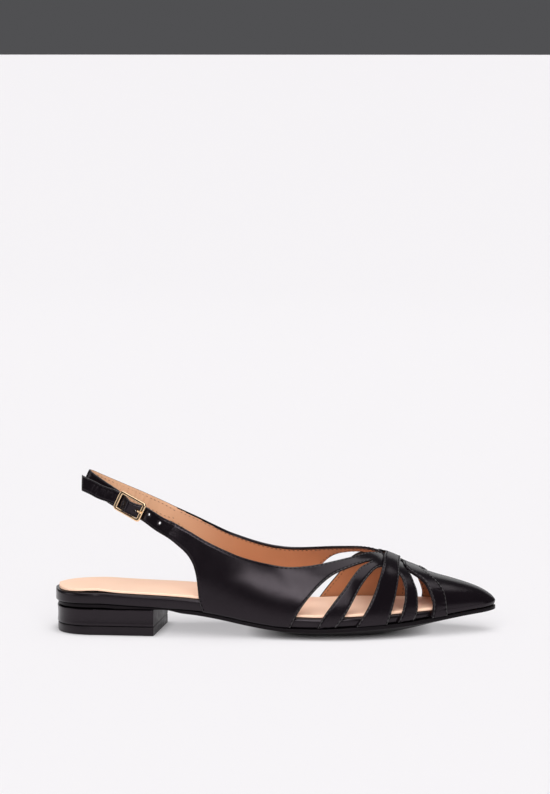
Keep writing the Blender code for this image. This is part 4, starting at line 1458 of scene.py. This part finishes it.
@dataclass
class Sole:
    """Outsole, covered rim and tan insole, as fine lofts along the foot."""

    last: Last
    gap: float = 0.3
    outsole_thick: float = 2.2
    insole_thick: float = 1.5
    insole_crown: float = 0.8
    insole_inset: float = 2.0
    inner_clear: float = 1.7
    toe_narrowing: float = 30.0
    rim_front_x: float = 121.0
    insole_front_x: float = 117.0
    lift_x: float = -108.5
    lift_long: float = 9.0
    lift_high: float = 0.8

    def stations(self, front: float, inset: float) -> np.ndarray:
        """Sets out stations from the round of the heel to a round front end.

        Args:
            front: The front end's place.
            inset: How far the heel is set in.

        Returns:
            The stations.
        """
        back = self.last.heel_round_x - self.last.heel_x - inset
        heel = self.last.heel_round_x - back * np.sin(np.radians(np.linspace(89, 0, 40)))
        middle = np.linspace(self.last.heel_round_x, front - 14, 120)[1:]
        nose = front - 14 * (1 - np.linspace(0, 0.99, 30)) ** 2
        return np.concatenate([heel, middle, nose[1:]])

    def slab(self, x: float, inset: float, low: float, high: float, soft: tuple[float, float],
             crown: float, lift: float = 0.0) -> np.ndarray:
        """Draws a slab's section.

        Args:
            x: Its station.
            inset: How far inside the outline its sides are.
            low: Height of its underside.
            high: Height of its upper edge.
            soft: Radii of its lower and upper edges.
            crown: How much its middle stands above its edges.
            lift: How far the lateral edge has come up.

        Returns:
            A ring of points.
        """
        ring = []
        arc = np.radians(np.linspace(0, 90, 6))
        for side in (Side.LATERAL, Side.MEDIAL):
            wide = max(float(self.last.half_width(x, side, inset)), 0.3)
            under, over = (min(s, 0.45 * wide, 0.46 * (high - low)) for s in soft)
            raised = lift if side is Side.LATERAL else 0.0
            run = [(wide - under + under * math.sin(a), low + under - under * math.cos(a)) for a in arc]
            run += [(wide - over + over * math.cos(a), high - over + over * math.sin(a)) for a in arc]
            for share in (0.8, 0.55, 0.28):
                run.append(((wide - over) * share, high + crown * (1 - share**2)))
            placed = []
            for y, z in run:
                hinge = max(0.0, (y / wide - 0.55) / 0.45)
                placed.append((x, self.last.line_y + side.value * y, z + raised * hinge**2))
            ring += placed if side is Side.LATERAL else placed[::-1]
        return np.array(ring)

    def narrowing(self, x: float, front: float, inset: float) -> float:
        """Returns how far inside the outline a slab in the upper is, with its round front end."""
        nose = float(np.clip((x - front) / self.toe_narrowing + 1, 0, 0.999))
        narrow = inset + self.inner_clear * float(np.clip((x - 60) / 50, 0, 1))
        return narrow + float(self.last.half_width(x, Side.MEDIAL)) * (1 - math.sqrt(1 - nose**3))

    def rim_piece(self, leather: bpy.types.Material) -> bpy.types.Object:
        """Builds the black-covered board whose edge shows round the heel and between the straps.

        Args:
            leather: Its finish.

        Returns:
            The piece.
        """
        rings = []
        for x in self.stations(self.rim_front_x, 0.0):
            low = float(self.last.feather(x))
            high = low + float(smooth(RIM["x"], RIM["thick"], x))
            rings.append(self.slab(x, self.narrowing(x, self.rim_front_x, 0.0), low, high, (1.1, 1.9), 0.0))
        return loft_piece("rim_leather", rings, leather)

    def insole_piece(self, sock: bpy.types.Material) -> bpy.types.Object:
        """Builds the tan sock, crowned at the heel, with its outer edge come up a little there.

        Args:
            sock: Its finish.

        Returns:
            The piece.
        """
        rings = []
        for x in self.stations(self.insole_front_x, self.insole_inset):
            low = float(self.last.feather(x) + smooth(RIM["x"], RIM["thick"], x)) + self.gap
            crown = self.insole_crown * float(np.clip(-x / 60, 0, 1))
            lift = self.lift_high * math.exp(-(((x - self.lift_x) / self.lift_long) ** 2))
            rings.append(self.slab(x, self.narrowing(x, self.insole_front_x, self.insole_inset), low,
                                   low + self.insole_thick, (0.25, 0.6), crown, lift))
        return loft_piece("insole_sock", rings, sock)

    def outsole_piece(self, rubber: bpy.types.Material) -> bpy.types.Object:
        """Builds the outsole: a thin edge, and an underside that rolls down to the tread.

        Args:
            rubber: Its finish.

        Returns:
            The piece.
        """
        rings = []
        arc = np.radians(np.linspace(0, 90, 5))
        shares = np.array([0.0, 0.25, 0.5, 0.62, 0.7, 0.78, 0.86, 0.94])
        for x in self.stations(self.last.toe_x, -float(OUTSOLE_EDGE["out"][0])):
            out = float(smooth(OUTSOLE_EDGE["x"], OUTSOLE_EDGE["out"], x))
            tread = float(smooth(TREAD["x"], TREAD["z"], x))
            high = float(self.last.feather(x)) - self.gap
            low = max(high - self.outsole_thick, tread)
            ring = []
            for side in (Side.LATERAL, Side.MEDIAL):
                wide = max(float(self.last.half_width(x, side, -out)), 0.3)
                soft = min(0.5, 0.3 * wide, 0.45 * (high - low))
                rolled = np.array([tread, tread, tread + 0.42 * (low - tread), low])
                under = smooth(np.array([0, 0.5, 0.78, 1.0]), rolled, shares)
                run = [((wide - soft) * s, float(z)) for s, z in zip(shares[1:], under[1:])]
                run += [(wide - soft + soft * math.sin(a), low + soft - soft * math.cos(a)) for a in arc]
                run += [(wide - soft + soft * math.cos(a), high - soft + soft * math.sin(a)) for a in arc]
                placed = [(x, self.last.line_y + side.value * y, z) for y, z in run]
                ring += placed if side is Side.LATERAL else placed[::-1]
            rings.append(np.array(ring))
        return loft_piece("outsole_edge", rings, rubber)

    def build(self, rubber: bpy.types.Material, leather: bpy.types.Material,
              sock: bpy.types.Material) -> list[bpy.types.Object]:
        """Builds the outsole, the rim and the insole.

        Args:
            rubber: The outsole's finish.
            leather: The rim's finish.
            sock: The insole's finish.

        Returns:
            The pieces.
        """
        return [settle(self.outsole_piece(rubber), "black_sole", "outsole"),
                settle(self.rim_piece(leather), "black_rim", "covered_rim"),
                settle(self.insole_piece(sock), "tan_sock", "insole")]


@dataclass
class Heel:
    """Covered heel block on its top piece."""

    last: Last
    breast_lateral_x: float = -71.8
    breast_medial_x: float = -66.6
    breast_wide: float = 20.0
    block_inset: float = 0.9
    top_inset: float = 1.3
    top_high: float = 5.2
    seat_z: float = 15.9
    gap: float = 0.45

    def outline(self, inset: float, corner: float = 0.7) -> np.ndarray:
        """Draws the heel's plan: round at the back, straight across the breast, with soft corners.

        Args:
            inset: How far inside the rim it is.
            corner: Radius of the corners.

        Returns:
            Its flat points.
        """
        points = []
        for side, breast in ((Side.LATERAL, self.breast_lateral_x), (Side.MEDIAL, self.breast_medial_x)):
            back = self.last.heel_round_x - self.last.heel_x - inset
            stations = self.last.heel_round_x - back * np.sin(np.radians(np.linspace(88.5, 0, 40)))
            stations = np.concatenate([stations, np.linspace(-104, breast - corner, 18)])
            wide = self.last.half_width(stations, side, inset)
            run = [(x, self.last.line_y + side.value * w) for x, w in zip(stations, wide)]
            edge_y = self.last.line_y + side.value * (wide[-1] - corner)
            for a in np.radians(np.linspace(18, 90, 5)):
                run.append((breast - corner + corner * math.sin(a),
                            edge_y + side.value * corner * math.cos(a)))
            points += run[::-1] if side is Side.LATERAL else run
        return np.array(points)

    def layer(self, name: str, inset: float, low: float, high: float, soft: float, waist: float,
              materials: Sequence[bpy.types.Material]) -> bpy.types.Object:
        """Builds one layer of the heel.

        Args:
            name: The piece's name.
            inset: How far inside the rim its sides are.
            low: Height of its underside.
            high: Height of its top.
            soft: Radius of its edges.
            waist: How far its sides draw in half way up.
            materials: The finishes of its sides and of its breast.

        Returns:
            The piece.
        """
        arc = np.radians(np.linspace(0, 90, 5))
        levels = [(soft - soft * math.sin(a), low + soft - soft * math.cos(a)) for a in arc]
        for share in np.linspace(0, 1, 9)[1:-1]:
            levels.append((waist * 4 * share * (1 - share), low + soft + (high - low - 2 * soft) * share))
        levels += [(soft - soft * math.cos(a), high - soft + soft * math.sin(a)) for a in arc]
        rings = []
        for more, z in levels:
            flat = self.outline(inset + more)
            rings.append(np.column_stack([flat, np.full(len(flat), z)]))
        faces = loft_faces(len(rings), len(rings[0]))
        verts = np.concatenate(rings)
        index = [int(len(f) == 4 and np.ptp(verts[list(f), 1]) > self.breast_wide) for f in faces]
        return mesh_piece(name, verts, faces, list(materials), index)

    def build(self, leather: bpy.types.Material, rubber: bpy.types.Material,
              breast: bpy.types.Material) -> list[bpy.types.Object]:
        """Builds the block and the top piece.

        Args:
            leather: The block's finish.
            rubber: The top piece's finish.
            breast: The finish of their front faces, black leather painted lighter where light falls on the
                breast.

        Returns:
            The pieces.
        """
        block = self.layer("heel_block_covered", self.block_inset, self.top_high + self.gap,
                           self.seat_z - self.gap, 0.35, 0.25, (leather, breast))
        top = self.layer("heel_top_piece_moulded", self.top_inset, 0.0, self.top_high, 0.45, -0.1,
                         (rubber, breast))
        return [settle(block, "black_rim", "heel_block"), settle(top, "black_sole", "heel_top_piece")]


# Places of a colour mix node's sockets
MIX_FIRST, MIX_SECOND, MIX_RESULT = 6, 7, 2


class Effects:
    """Shader node groups that several finishes share."""

    @staticmethod
    def start(name: str, inputs: dict[str, tuple[str, float | Colour]],
              outputs: dict[str, str]) -> tuple[bpy.types.NodeTree, bpy.types.Node, bpy.types.Node]:
        """Starts a node group.

        Args:
            name: The group's name.
            inputs: Each input's socket kind and default.
            outputs: Each output's socket kind.

        Returns:
            The group, its input node and its output node.
        """
        tree = bpy.data.node_groups.new(name, "ShaderNodeTree")
        for label, (kind, value) in inputs.items():
            tree.interface.new_socket(label, in_out="INPUT", socket_type=kind).default_value = value
        for label, kind in outputs.items():
            tree.interface.new_socket(label, in_out="OUTPUT", socket_type=kind)
        return tree, tree.nodes.new("NodeGroupInput"), tree.nodes.new("NodeGroupOutput")

    @staticmethod
    def node(tree: bpy.types.NodeTree, kind: str, inputs: dict[str | int, object],
             **settings: object) -> bpy.types.Node:
        """Adds a node.

        Args:
            tree: The nodes that it joins.
            kind: Its kind, without the shader prefix.
            inputs: A number, a colour or another node's socket for each of its inputs.
            settings: Its other settings.

        Returns:
            The node.
        """
        made = tree.nodes.new(f"ShaderNode{kind}")
        for name, value in settings.items():
            setattr(made, name, value)
        for label, value in inputs.items():
            if isinstance(value, bpy.types.NodeSocket):
                tree.links.new(value, made.inputs[label])
            else:
                made.inputs[label].default_value = value
        return made

    @classmethod
    def grain(cls) -> bpy.types.NodeTree:
        """Makes leather grain: small cells with pores between them, and soft undulation.

        Returns:
            The node group.
        """
        tree, given, made = cls.start("leather grain", {
            "Cells per metre": ("NodeSocketFloat", 1800.0), "Cell depth": ("NodeSocketFloat", 0.6),
            "Undulation": ("NodeSocketFloat", 0.4)}, {"Height": "NodeSocketFloat"})
        place = cls.node(tree, "TexCoord", {}).outputs["Object"]
        cells = cls.node(tree, "TexVoronoi", {"Vector": place, "Scale": given.outputs["Cells per metre"]},
                         feature="DISTANCE_TO_EDGE")
        pores = cls.node(tree, "MapRange", {"Value": cells.outputs["Distance"], "From Max": 0.16})
        waves = cls.node(tree, "TexNoise", {"Vector": place, "Scale": 95.0, "Detail": 3.0})
        deep = cls.node(tree, "Math", {0: pores.outputs["Result"], 1: given.outputs["Cell depth"]},
                        operation="MULTIPLY")
        soft = cls.node(tree, "Math", {0: waves.outputs["Fac"], 1: given.outputs["Undulation"]},
                        operation="MULTIPLY")
        height = cls.node(tree, "Math", {0: deep.outputs[0], 1: soft.outputs[0]}, operation="ADD")
        tree.links.new(height.outputs[0], made.inputs["Height"])
        return tree

    @classmethod
    def variation(cls) -> bpy.types.NodeTree:
        """Makes a value that drifts between two limits in soft patches.

        Returns:
            The node group.
        """
        tree, given, made = cls.start("patchy value", {
            "Patches per metre": ("NodeSocketFloat", 60.0), "Low": ("NodeSocketFloat", 0.25),
            "High": ("NodeSocketFloat", 0.4)}, {"Value": "NodeSocketFloat"})
        place = cls.node(tree, "TexCoord", {}).outputs["Object"]
        noise = cls.node(tree, "TexNoise", {
            "Vector": place, "Scale": given.outputs["Patches per metre"], "Detail": 4.0})
        spread = cls.node(tree, "MapRange", {
            "Value": noise.outputs["Fac"], "From Min": 0.3, "From Max": 0.7,
            "To Min": given.outputs["Low"], "To Max": given.outputs["High"]})
        tree.links.new(spread.outputs["Result"], made.inputs["Value"])
        return tree

    @classmethod
    def mottle(cls) -> bpy.types.NodeTree:
        """Makes a colour that drifts between two shades.

        Returns:
            The node group.
        """
        tree, given, made = cls.start("mottled colour", {
            "Patches per metre": ("NodeSocketFloat", 40.0), "Light": ("NodeSocketColor", (1, 1, 1, 1)),
            "Dark": ("NodeSocketColor", (0, 0, 0, 1))}, {"Color": "NodeSocketColor"})
        place = cls.node(tree, "TexCoord", {}).outputs["Object"]
        noise = cls.node(tree, "TexNoise", {
            "Vector": place, "Scale": given.outputs["Patches per metre"], "Detail": 5.0, "Roughness": 0.6})
        mix = cls.node(tree, "Mix", {
            "Factor": noise.outputs["Fac"], MIX_FIRST: given.outputs["Light"],
            MIX_SECOND: given.outputs["Dark"]}, data_type="RGBA")
        tree.links.new(mix.outputs[MIX_RESULT], made.inputs["Color"])
        return tree

    @classmethod
    def painted_forward_shade(cls) -> bpy.types.NodeTree:
        """Paints shade into a colour, deeper from the strap towards the vamp, where less light reaches
        inside the shoe.

        Returns:
            The node group.
        """
        tree, given, made = cls.start("painted shade towards the vamp", {
            "Color": ("NodeSocketColor", (1, 1, 1, 1)), "Forward": ("NodeSocketColor", (1, 1, 1, 1))},
            {"Color": "NodeSocketColor"})
        place = cls.node(tree, "TexCoord", {}).outputs["Object"]
        parts = cls.node(tree, "SeparateXYZ", {"Vector": place})
        share = cls.node(tree, "MapRange", {
            "Value": parts.outputs["X"], "From Min": -85 * MM, "From Max": -15 * MM},
            interpolation_type="SMOOTHSTEP")
        mix = cls.node(tree, "Mix", {
            "Factor": share.outputs["Result"], MIX_FIRST: given.outputs["Color"],
            MIX_SECOND: given.outputs["Forward"]}, data_type="RGBA", blend_type="MULTIPLY")
        tree.links.new(mix.outputs[MIX_RESULT], made.inputs["Color"])
        return tree


@dataclass(frozen=True)
class Finish:
    """A surface finish, with grain, patchy gloss and a mottled colour from the shared effects."""

    name: str
    light: Colour
    dark: Colour
    rough: tuple[float, float]
    metallic: float = 0.0
    cells: float = 1800.0
    cell_depth: float = 0.6
    undulation: float = 0.4
    bump: float = 0.15
    bump_high: float = 0.00006
    patches: float = 60.0
    specular: float = 0.5
    sheen_tint: Colour = (1, 1, 1, 1)
    # Colour multiplied in towards the vamp: painted shade inside the shoe
    forward: Colour | None = None

    def material(self, groups: dict[str, bpy.types.NodeTree]) -> bpy.types.Material:
        """Builds the material.

        Args:
            groups: The shared node groups by name.

        Returns:
            The new material.
        """
        made = bpy.data.materials.new(self.name)
        made.use_nodes = True
        tree = made.node_tree
        shader = tree.nodes["Principled BSDF"]
        shader.inputs["Metallic"].default_value = self.metallic
        shader.inputs["Specular IOR Level"].default_value = self.specular
        shader.inputs["Specular Tint"].default_value = self.sheen_tint
        colour = Effects.node(tree, "Group", {
            "Patches per metre": self.patches, "Light": self.light, "Dark": self.dark},
            node_tree=groups["mottle"])
        gloss = Effects.node(tree, "Group", {
            "Patches per metre": self.patches, "Low": self.rough[0], "High": self.rough[1]},
            node_tree=groups["variation"])
        grain = Effects.node(tree, "Group", {
            "Cells per metre": self.cells, "Cell depth": self.cell_depth, "Undulation": self.undulation},
            node_tree=groups["grain"])
        bump = Effects.node(tree, "Bump", {
            "Strength": self.bump, "Distance": self.bump_high, "Height": grain.outputs["Height"]})
        if self.forward:
            colour = Effects.node(tree, "Group", {
                "Color": colour.outputs["Color"], "Forward": self.forward}, node_tree=groups["painted_forward_shade"])
        for label, socket in (("Base Color", colour.outputs["Color"]),
                              ("Roughness", gloss.outputs["Value"]),
                              ("Normal", bump.outputs["Normal"])):
            tree.links.new(socket, shader.inputs[label])
        return made


DARK_SHEEN = (1.0, 0.87, 0.96, 1)
LEATHER = Finish(
    "black upper leather", (0.0054, 0.0038, 0.0052, 1), (0.0028, 0.0018, 0.0027, 1), (0.13, 0.2),
    cells=1500, undulation=1.6, bump=0.2, specular=0.31, sheen_tint=DARK_SHEEN)
# Lighter leather along the turned edges: a painted highlight
EDGE_HIGHLIGHT_LEATHER = Finish(
    "leather edge, painted highlight", (0.027, 0.024, 0.026, 1), (0.013, 0.011, 0.012, 1), (0.3, 0.4),
    cells=3000, bump=0.1)
RIM_LEATHER = Finish(
    "black rim leather", (0.0055, 0.0042, 0.0053, 1), (0.003, 0.0021, 0.0028, 1), (0.18, 0.26),
    cells=1500, specular=0.34, sheen_tint=DARK_SHEEN)
# The heel's breast is the block's black leather painted lighter: painted light on the front face
LIT_BREAST_LEATHER = Finish(
    "black breast leather, painted lighter", (0.03, 0.027, 0.029, 1), (0.012, 0.011, 0.012, 1), (0.4, 0.55),
    cells=900, bump=0.2, specular=0.24, patches=260, sheen_tint=DARK_SHEEN)
# The outsole's rubber is darker than the top piece's: painted shade on its underside
SHADED_OUTSOLE_RUBBER = Finish(
    "black outsole rubber, painted darker", (0.005, 0.0042, 0.0048, 1), (0.003, 0.0024, 0.0029, 1), (0.4, 0.5),
    cells=2600, bump=0.12, specular=0.14, sheen_tint=DARK_SHEEN)
TOP_PIECE_RUBBER = Finish(
    "black top piece rubber", (0.008, 0.0068, 0.0078, 1), (0.005, 0.004, 0.0048, 1), (0.34, 0.46),
    cells=2600, bump=0.12, specular=0.3, sheen_tint=DARK_SHEEN)
SOCK = Finish(
    "tan sock leather", (0.93, 0.635, 0.475, 1), (0.89, 0.585, 0.425, 1), (0.5, 0.62),
    cells=1700, bump=0.25, patches=45, specular=0.3)
# The lining is painted darker towards the vamp: painted shade inside the shoe
LINING = Finish(
    "tan lining leather", (0.62, 0.37, 0.228, 1), (0.55, 0.315, 0.188, 1), (0.42, 0.55),
    cells=1700, undulation=2.5, bump=0.35, patches=70, specular=0.35, forward=(0.70, 0.485, 0.378, 1))
GOLD = Finish(
    "pale gold plating", (1.0, 0.75, 0.48, 1), (0.97, 0.65, 0.38, 1), (0.10, 0.18),
    metallic=1.0, cells=600, cell_depth=0.0, undulation=0.3, bump=0.05, patches=180)
THREAD = Finish(
    "black thread", (0.006, 0.005, 0.006, 1), (0.003, 0.0025, 0.003, 1), (0.5, 0.6),
    cells=5200, bump=0.4, specular=0.15)
# Its thread is painted darker towards the vamp too: painted shade
LINING_THREAD = Finish(
    "brown thread", (0.30, 0.165, 0.09, 1), (0.22, 0.115, 0.06, 1), (0.5, 0.6),
    cells=5200, bump=0.4, forward=(0.2, 0.16, 0.13, 1))


@dataclass(frozen=True)
class Studio:
    """Pale floor, soft light and the photograph's camera."""

    image_high: int = 794
    shoe_pixels: float = 439.0
    shoe_long: float = 265.0
    aim: tuple[float, float, float] = (-0.3, 3.4, 45.0)
    aim_row: float = 554.6
    distance: float = 2200.0
    elevation_deg: float = 8.5
    azimuth_deg: float = 2.0
    floor_half: float = 30.0
    floor_low: float = -0.05
    floor_colour: Colour = (0.4, 0.392, 0.4, 1)
    # The floor's glow, and how far from the shoe it is dimmed as a painted contact shadow
    floor_glow: Colour = (0.43, 0.42, 0.43, 1)
    painted_shadow_reach: float = 6.5
    world_colour: Colour = (0.08, 0.08, 0.084, 1)

    def floor(self) -> bpy.types.Object:
        """Lays the floor, which glows a little, with the glow dimmed near the shoe as a painted contact
        shadow.

        Returns:
            The floor.
        """
        half, low = self.floor_half / MM, self.floor_low
        corners = np.array([(x * half, y * half, low) for x, y in ((-1, -1), (1, -1), (1, 1), (-1, 1))])
        floor = mesh_piece("studio_floor", corners, [(0, 1, 2, 3)], [])
        paper = bpy.data.materials.new("pale floor")
        paper.use_nodes = True
        shader = paper.node_tree.nodes["Principled BSDF"]
        shader.inputs["Base Color"].default_value = self.floor_colour
        shader.inputs["Emission Color"].default_value = self.floor_glow
        # The glow is dimmed where the shoe stands near: a painted contact shadow
        painted_contact_shadow = paper.node_tree.nodes.new("ShaderNodeAmbientOcclusion")
        painted_contact_shadow.inputs["Distance"].default_value = self.painted_shadow_reach * MM
        paper.node_tree.links.new(painted_contact_shadow.outputs["AO"], shader.inputs["Emission Strength"])
        shader.inputs["Roughness"].default_value = 0.9
        shader.inputs["Specular IOR Level"].default_value = 0.1
        floor.data.materials.append(paper)
        return floor

    @staticmethod
    def lamp(name: str, azimuth_deg: float, elevation_deg: float, away: float, size: tuple[float, float],
             brightness: float) -> None:
        """Hangs a soft box that shows in glossy surfaces only.

        Args:
            name: The lamp's name.
            azimuth_deg: Its direction from the shoe, to the right of straight in front.
            elevation_deg: Its direction above the floor.
            away: Its distance in metres.
            size: Its width and height.
            brightness: How bright its face looks.
        """
        az, el = math.radians(azimuth_deg), math.radians(elevation_deg)
        heading = Vector((math.sin(az) * math.cos(el), -math.cos(az) * math.cos(el), math.sin(el)))
        light = bpy.data.lights.new(name, "AREA")
        light.shape = "RECTANGLE"
        light.size, light.size_y = size
        light.energy = brightness * math.pi * size[0] * size[1]
        lamp = bpy.data.objects.new(name, light)
        lamp.location = Vector((0, -0.02, 0.035)) + heading * away
        lamp.rotation_euler = (-heading).to_track_quat("-Z", "Y").to_euler()
        lamp.visible_diffuse = lamp.visible_camera = False
        bpy.context.scene.collection.objects.link(lamp)

    @staticmethod
    def sun(name: str, tilt_deg: float, turn_deg: float, angle_deg: float, strength: float,
            mirrored: bool) -> None:
        """Hangs a very large soft light far away.

        Args:
            name: The lamp's name.
            tilt_deg: How far it leans from overhead towards the camera.
            turn_deg: How far it leans to the right.
            angle_deg: How wide it looks from the shoe.
            strength: Its strength.
            mirrored: Whether it shows in glossy surfaces.
        """
        light = bpy.data.lights.new(name, "SUN")
        light.energy = strength
        light.angle = math.radians(angle_deg)
        lamp = bpy.data.objects.new(name, light)
        lamp.rotation_euler = (math.radians(tilt_deg), math.radians(turn_deg), 0)
        lamp.visible_glossy = mirrored
        bpy.context.scene.collection.objects.link(lamp)

    def lights(self) -> None:
        """Sets soft light overhead, a fill from the front and soft boxes round the shoe."""
        self.sun("overhead", -4, 3, 56, 1.25, True)
        self.sun("overhead_fill", -4, 3, 56, 0.6, False)
        self.sun("front_fill", 55, 0, 60, 3.2, False)
        self.lamp("front_box", -2, 40, 1.5, (0.47, 1.35), 4.1)
        self.lamp("front_box_core", -7, 29, 1.4, (0.13, 0.4), 2.8)
        self.lamp("right_box", 57, 6, 1.8, (0.9, 0.3), 0.75)
        self.lamp("left_box", -82, 22, 1.7, (1.0, 0.9), 1.2)
        self.lamp("back_box", 168, 18, 2.6, (3.0, 1.2), 0.6)
        world = bpy.data.worlds.new("studio")
        world.use_nodes = True
        world.node_tree.nodes["Background"].inputs["Color"].default_value = self.world_colour
        bpy.context.scene.world = world
        bpy.context.scene.view_settings.view_transform = "Standard"

    def camera(self) -> None:
        """Sets the camera at the photograph's angle."""
        az, el = math.radians(self.azimuth_deg), math.radians(self.elevation_deg)
        away = Vector((math.sin(az) * math.cos(el), -math.cos(az) * math.cos(el), math.sin(el)))
        pixels = self.distance * self.shoe_pixels / self.shoe_long
        view = bpy.data.cameras.new("camera")
        view.sensor_width = 36.0
        view.lens = view.sensor_width * pixels / self.image_high
        view.clip_end = 100.0
        camera = bpy.data.objects.new("camera", view)
        camera.location = (Vector(self.aim) + away * self.distance) * MM
        camera.rotation_euler = (-away).to_track_quat("-Z", "Y").to_euler()
        camera.rotation_euler.x += math.atan((self.aim_row - self.image_high / 2) / pixels)
        bpy.context.scene.collection.objects.link(camera)
        bpy.context.scene.camera = camera

    def build(self) -> None:
        """Sets up floor, lights and camera."""
        self.floor()
        self.lights()
        self.camera()


def main() -> None:
    """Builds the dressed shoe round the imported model, and the studio round it."""
    logging.basicConfig(level=logging.INFO, format="%(name)s: %(message)s")
    for leftover in list(bpy.data.objects):
        bpy.data.objects.remove(leftover)
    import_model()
    groups = {"grain": Effects.grain(), "variation": Effects.variation(), "mottle": Effects.mottle(),
              "painted_forward_shade": Effects.painted_forward_shade()}
    leather, edge, rim, breast, rubber, top_piece, sock, lining, gold, thread, lining_thread = (
        finish.material(groups) for finish in (
            LEATHER, EDGE_HIGHLIGHT_LEATHER, RIM_LEATHER, LIT_BREAST_LEATHER, SHADED_OUTSOLE_RUBBER, TOP_PIECE_RUBBER, SOCK,
            LINING, GOLD, THREAD, LINING_THREAD))
    last, buckle, turn = Last(), Buckle(), EdgeTurn()
    Sole(last).build(rubber, rim, sock)
    Heel(last).build(rim, top_piece, breast)
    Upper(last, buckle, turn).build(leather, lining, edge, thread, lining_thread)
    for strip in (LaidStrip("instep_band_leather", "instep_band", last, INSTEP_BAND, 1.1, turn),
                  LaidStrip("toe_strip_leather", "toe_strip", last, TOE_STRIP, 0.8, turn, TOE_PUCKERS)):
        strip.build(leather, lining, edge, thread)
    settle(buckle.frame_piece(last, gold), "pale_gold", "buckle_frame")
    settle(buckle.prong_piece(last, gold), "pale_gold", "buckle_prong")
    Studio().build()


if __name__ == "__main__":
    main()
